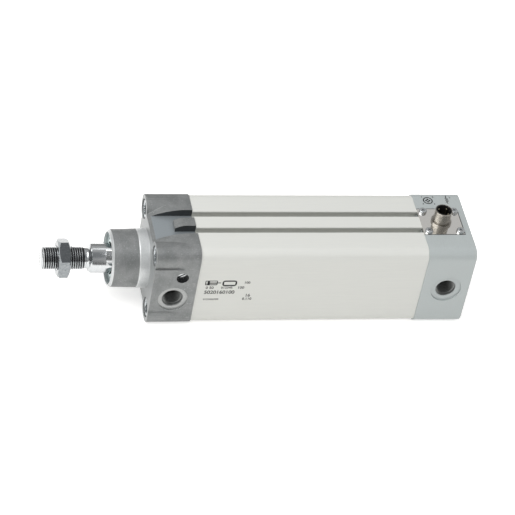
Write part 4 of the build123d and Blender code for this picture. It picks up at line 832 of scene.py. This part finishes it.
def flatMesh(faces):
    # each face is a loop of (across, up) points in mm
    bm = bmesh.new()
    for loop in faces:
        bm.faces.new([bm.verts.new((u * mm, v * mm, 0)) for u, v in loop])
    bmesh.ops.recalc_face_normals(bm, faces=bm.faces)
    for face in bm.faces:
        if face.normal.z < 0:
            face.normal_flip()
    mesh = bpy.data.meshes.new("mark")
    bm.to_mesh(mesh)
    bm.free()
    return mesh


def line(u0, v0, u1, v1, width):
    # a stroke between two points
    length = math.hypot(u1 - u0, v1 - v0)
    du, dv = (u1 - u0) / length * width / 2, (v1 - v0) / length * width / 2
    return [(u0 - dv, v0 + du), (u0 + dv, v0 - du), (u1 + dv, v1 - du), (u1 - dv, v1 + du)]


def loopStrokes(points, width):
    return [line(*a, *b, width) for a, b in zip(points, points[1:] + points[:1])]


def roundedBox(u0, v0, u1, v1, radius):
    points = []
    for cu, cv, start in ((u1 - radius, v1 - radius, 0), (u0 + radius, v1 - radius, 90),
                          (u0 + radius, v0 + radius, 180), (u1 - radius, v0 + radius, 270)):
        for step in range(4):
            angle = math.radians(start + 30 * step)
            points.append((cu + radius * math.cos(angle), cv + radius * math.sin(angle)))
    return points


def circlePoints(u, v, radius, steps=20):
    return [(u + radius * math.cos(2 * math.pi * i / steps), v + radius * math.sin(2 * math.pi * i / steps))
            for i in range(steps)]


def numberMesh(words, height, left, foot):
    curve = bpy.data.curves.new("number", "FONT")
    curve.body = words
    curve.size = height * mm / 0.72  # the font's figures are 0.72 of its size
    curve.offset = height * 0.03 * mm  # bolder
    holder = bpy.data.objects.new("number", curve)
    scene.collection.objects.link(holder)
    mesh = bpy.data.meshes.new_from_object(holder.evaluated_get(bpy.context.evaluated_depsgraph_get()))
    bpy.data.objects.remove(holder)
    mesh.transform(Matrix.Translation((left * mm, foot * mm, 0)))
    return mesh


# the drawing of a cylinder with its rod, and a rounded frame
strokes = loopStrokes(marks["drawing"], marks["drawingWidth"])
strokes += [line(*part) for part in marks["drawnParts"]]
strokes += loopStrokes(roundedBox(*marks["box"]), marks["boxWidth"])
barrelMarks = joinMeshes("barrelMarks", [flatMesh([loop]) for loop in strokes] +
                         [numberMesh(*words) for words in marks["numbers"]])
ontoSide = Matrix.Rotation(math.radians(90), 4, "X")
placed(barrelMarks, ontoSide, 0, marks["side"] - marks["lift"], 0)

# the socket's four pins in their ring, and a zigzag
u, v = marks["socket"]
ringRadius, ringWidth = marks["socketRing"]
ringStrokes = loopStrokes(circlePoints(u, v, ringRadius), ringWidth)
off, pinRadius = marks["pin"]
ringStrokes += [circlePoints(u + du, v + dv, pinRadius, 10) for du, dv in ((-off, 0), (off, 0), (0, -off), (0, off))]
zigzag = marks["zigzag"]
ringStrokes += [line(*a, *b, marks["zigzagWidth"]) for a, b in zip(zigzag, zigzag[1:])]
capMarks = joinMeshes("capMarks", [flatMesh([loop]) for loop in ringStrokes] +
                      [numberMesh(*words) for words in marks["capNumbers"]])
placed(capMarks, Matrix(), 0, 0, marks["top"] + marks["lift"])

addPiece("barrelMarks", barrelMarks, mixed["mark"], "cylinder_body")
addPiece("capMarks", capMarks, mixed["mark"], "cylinder_body")
print("marks laid")
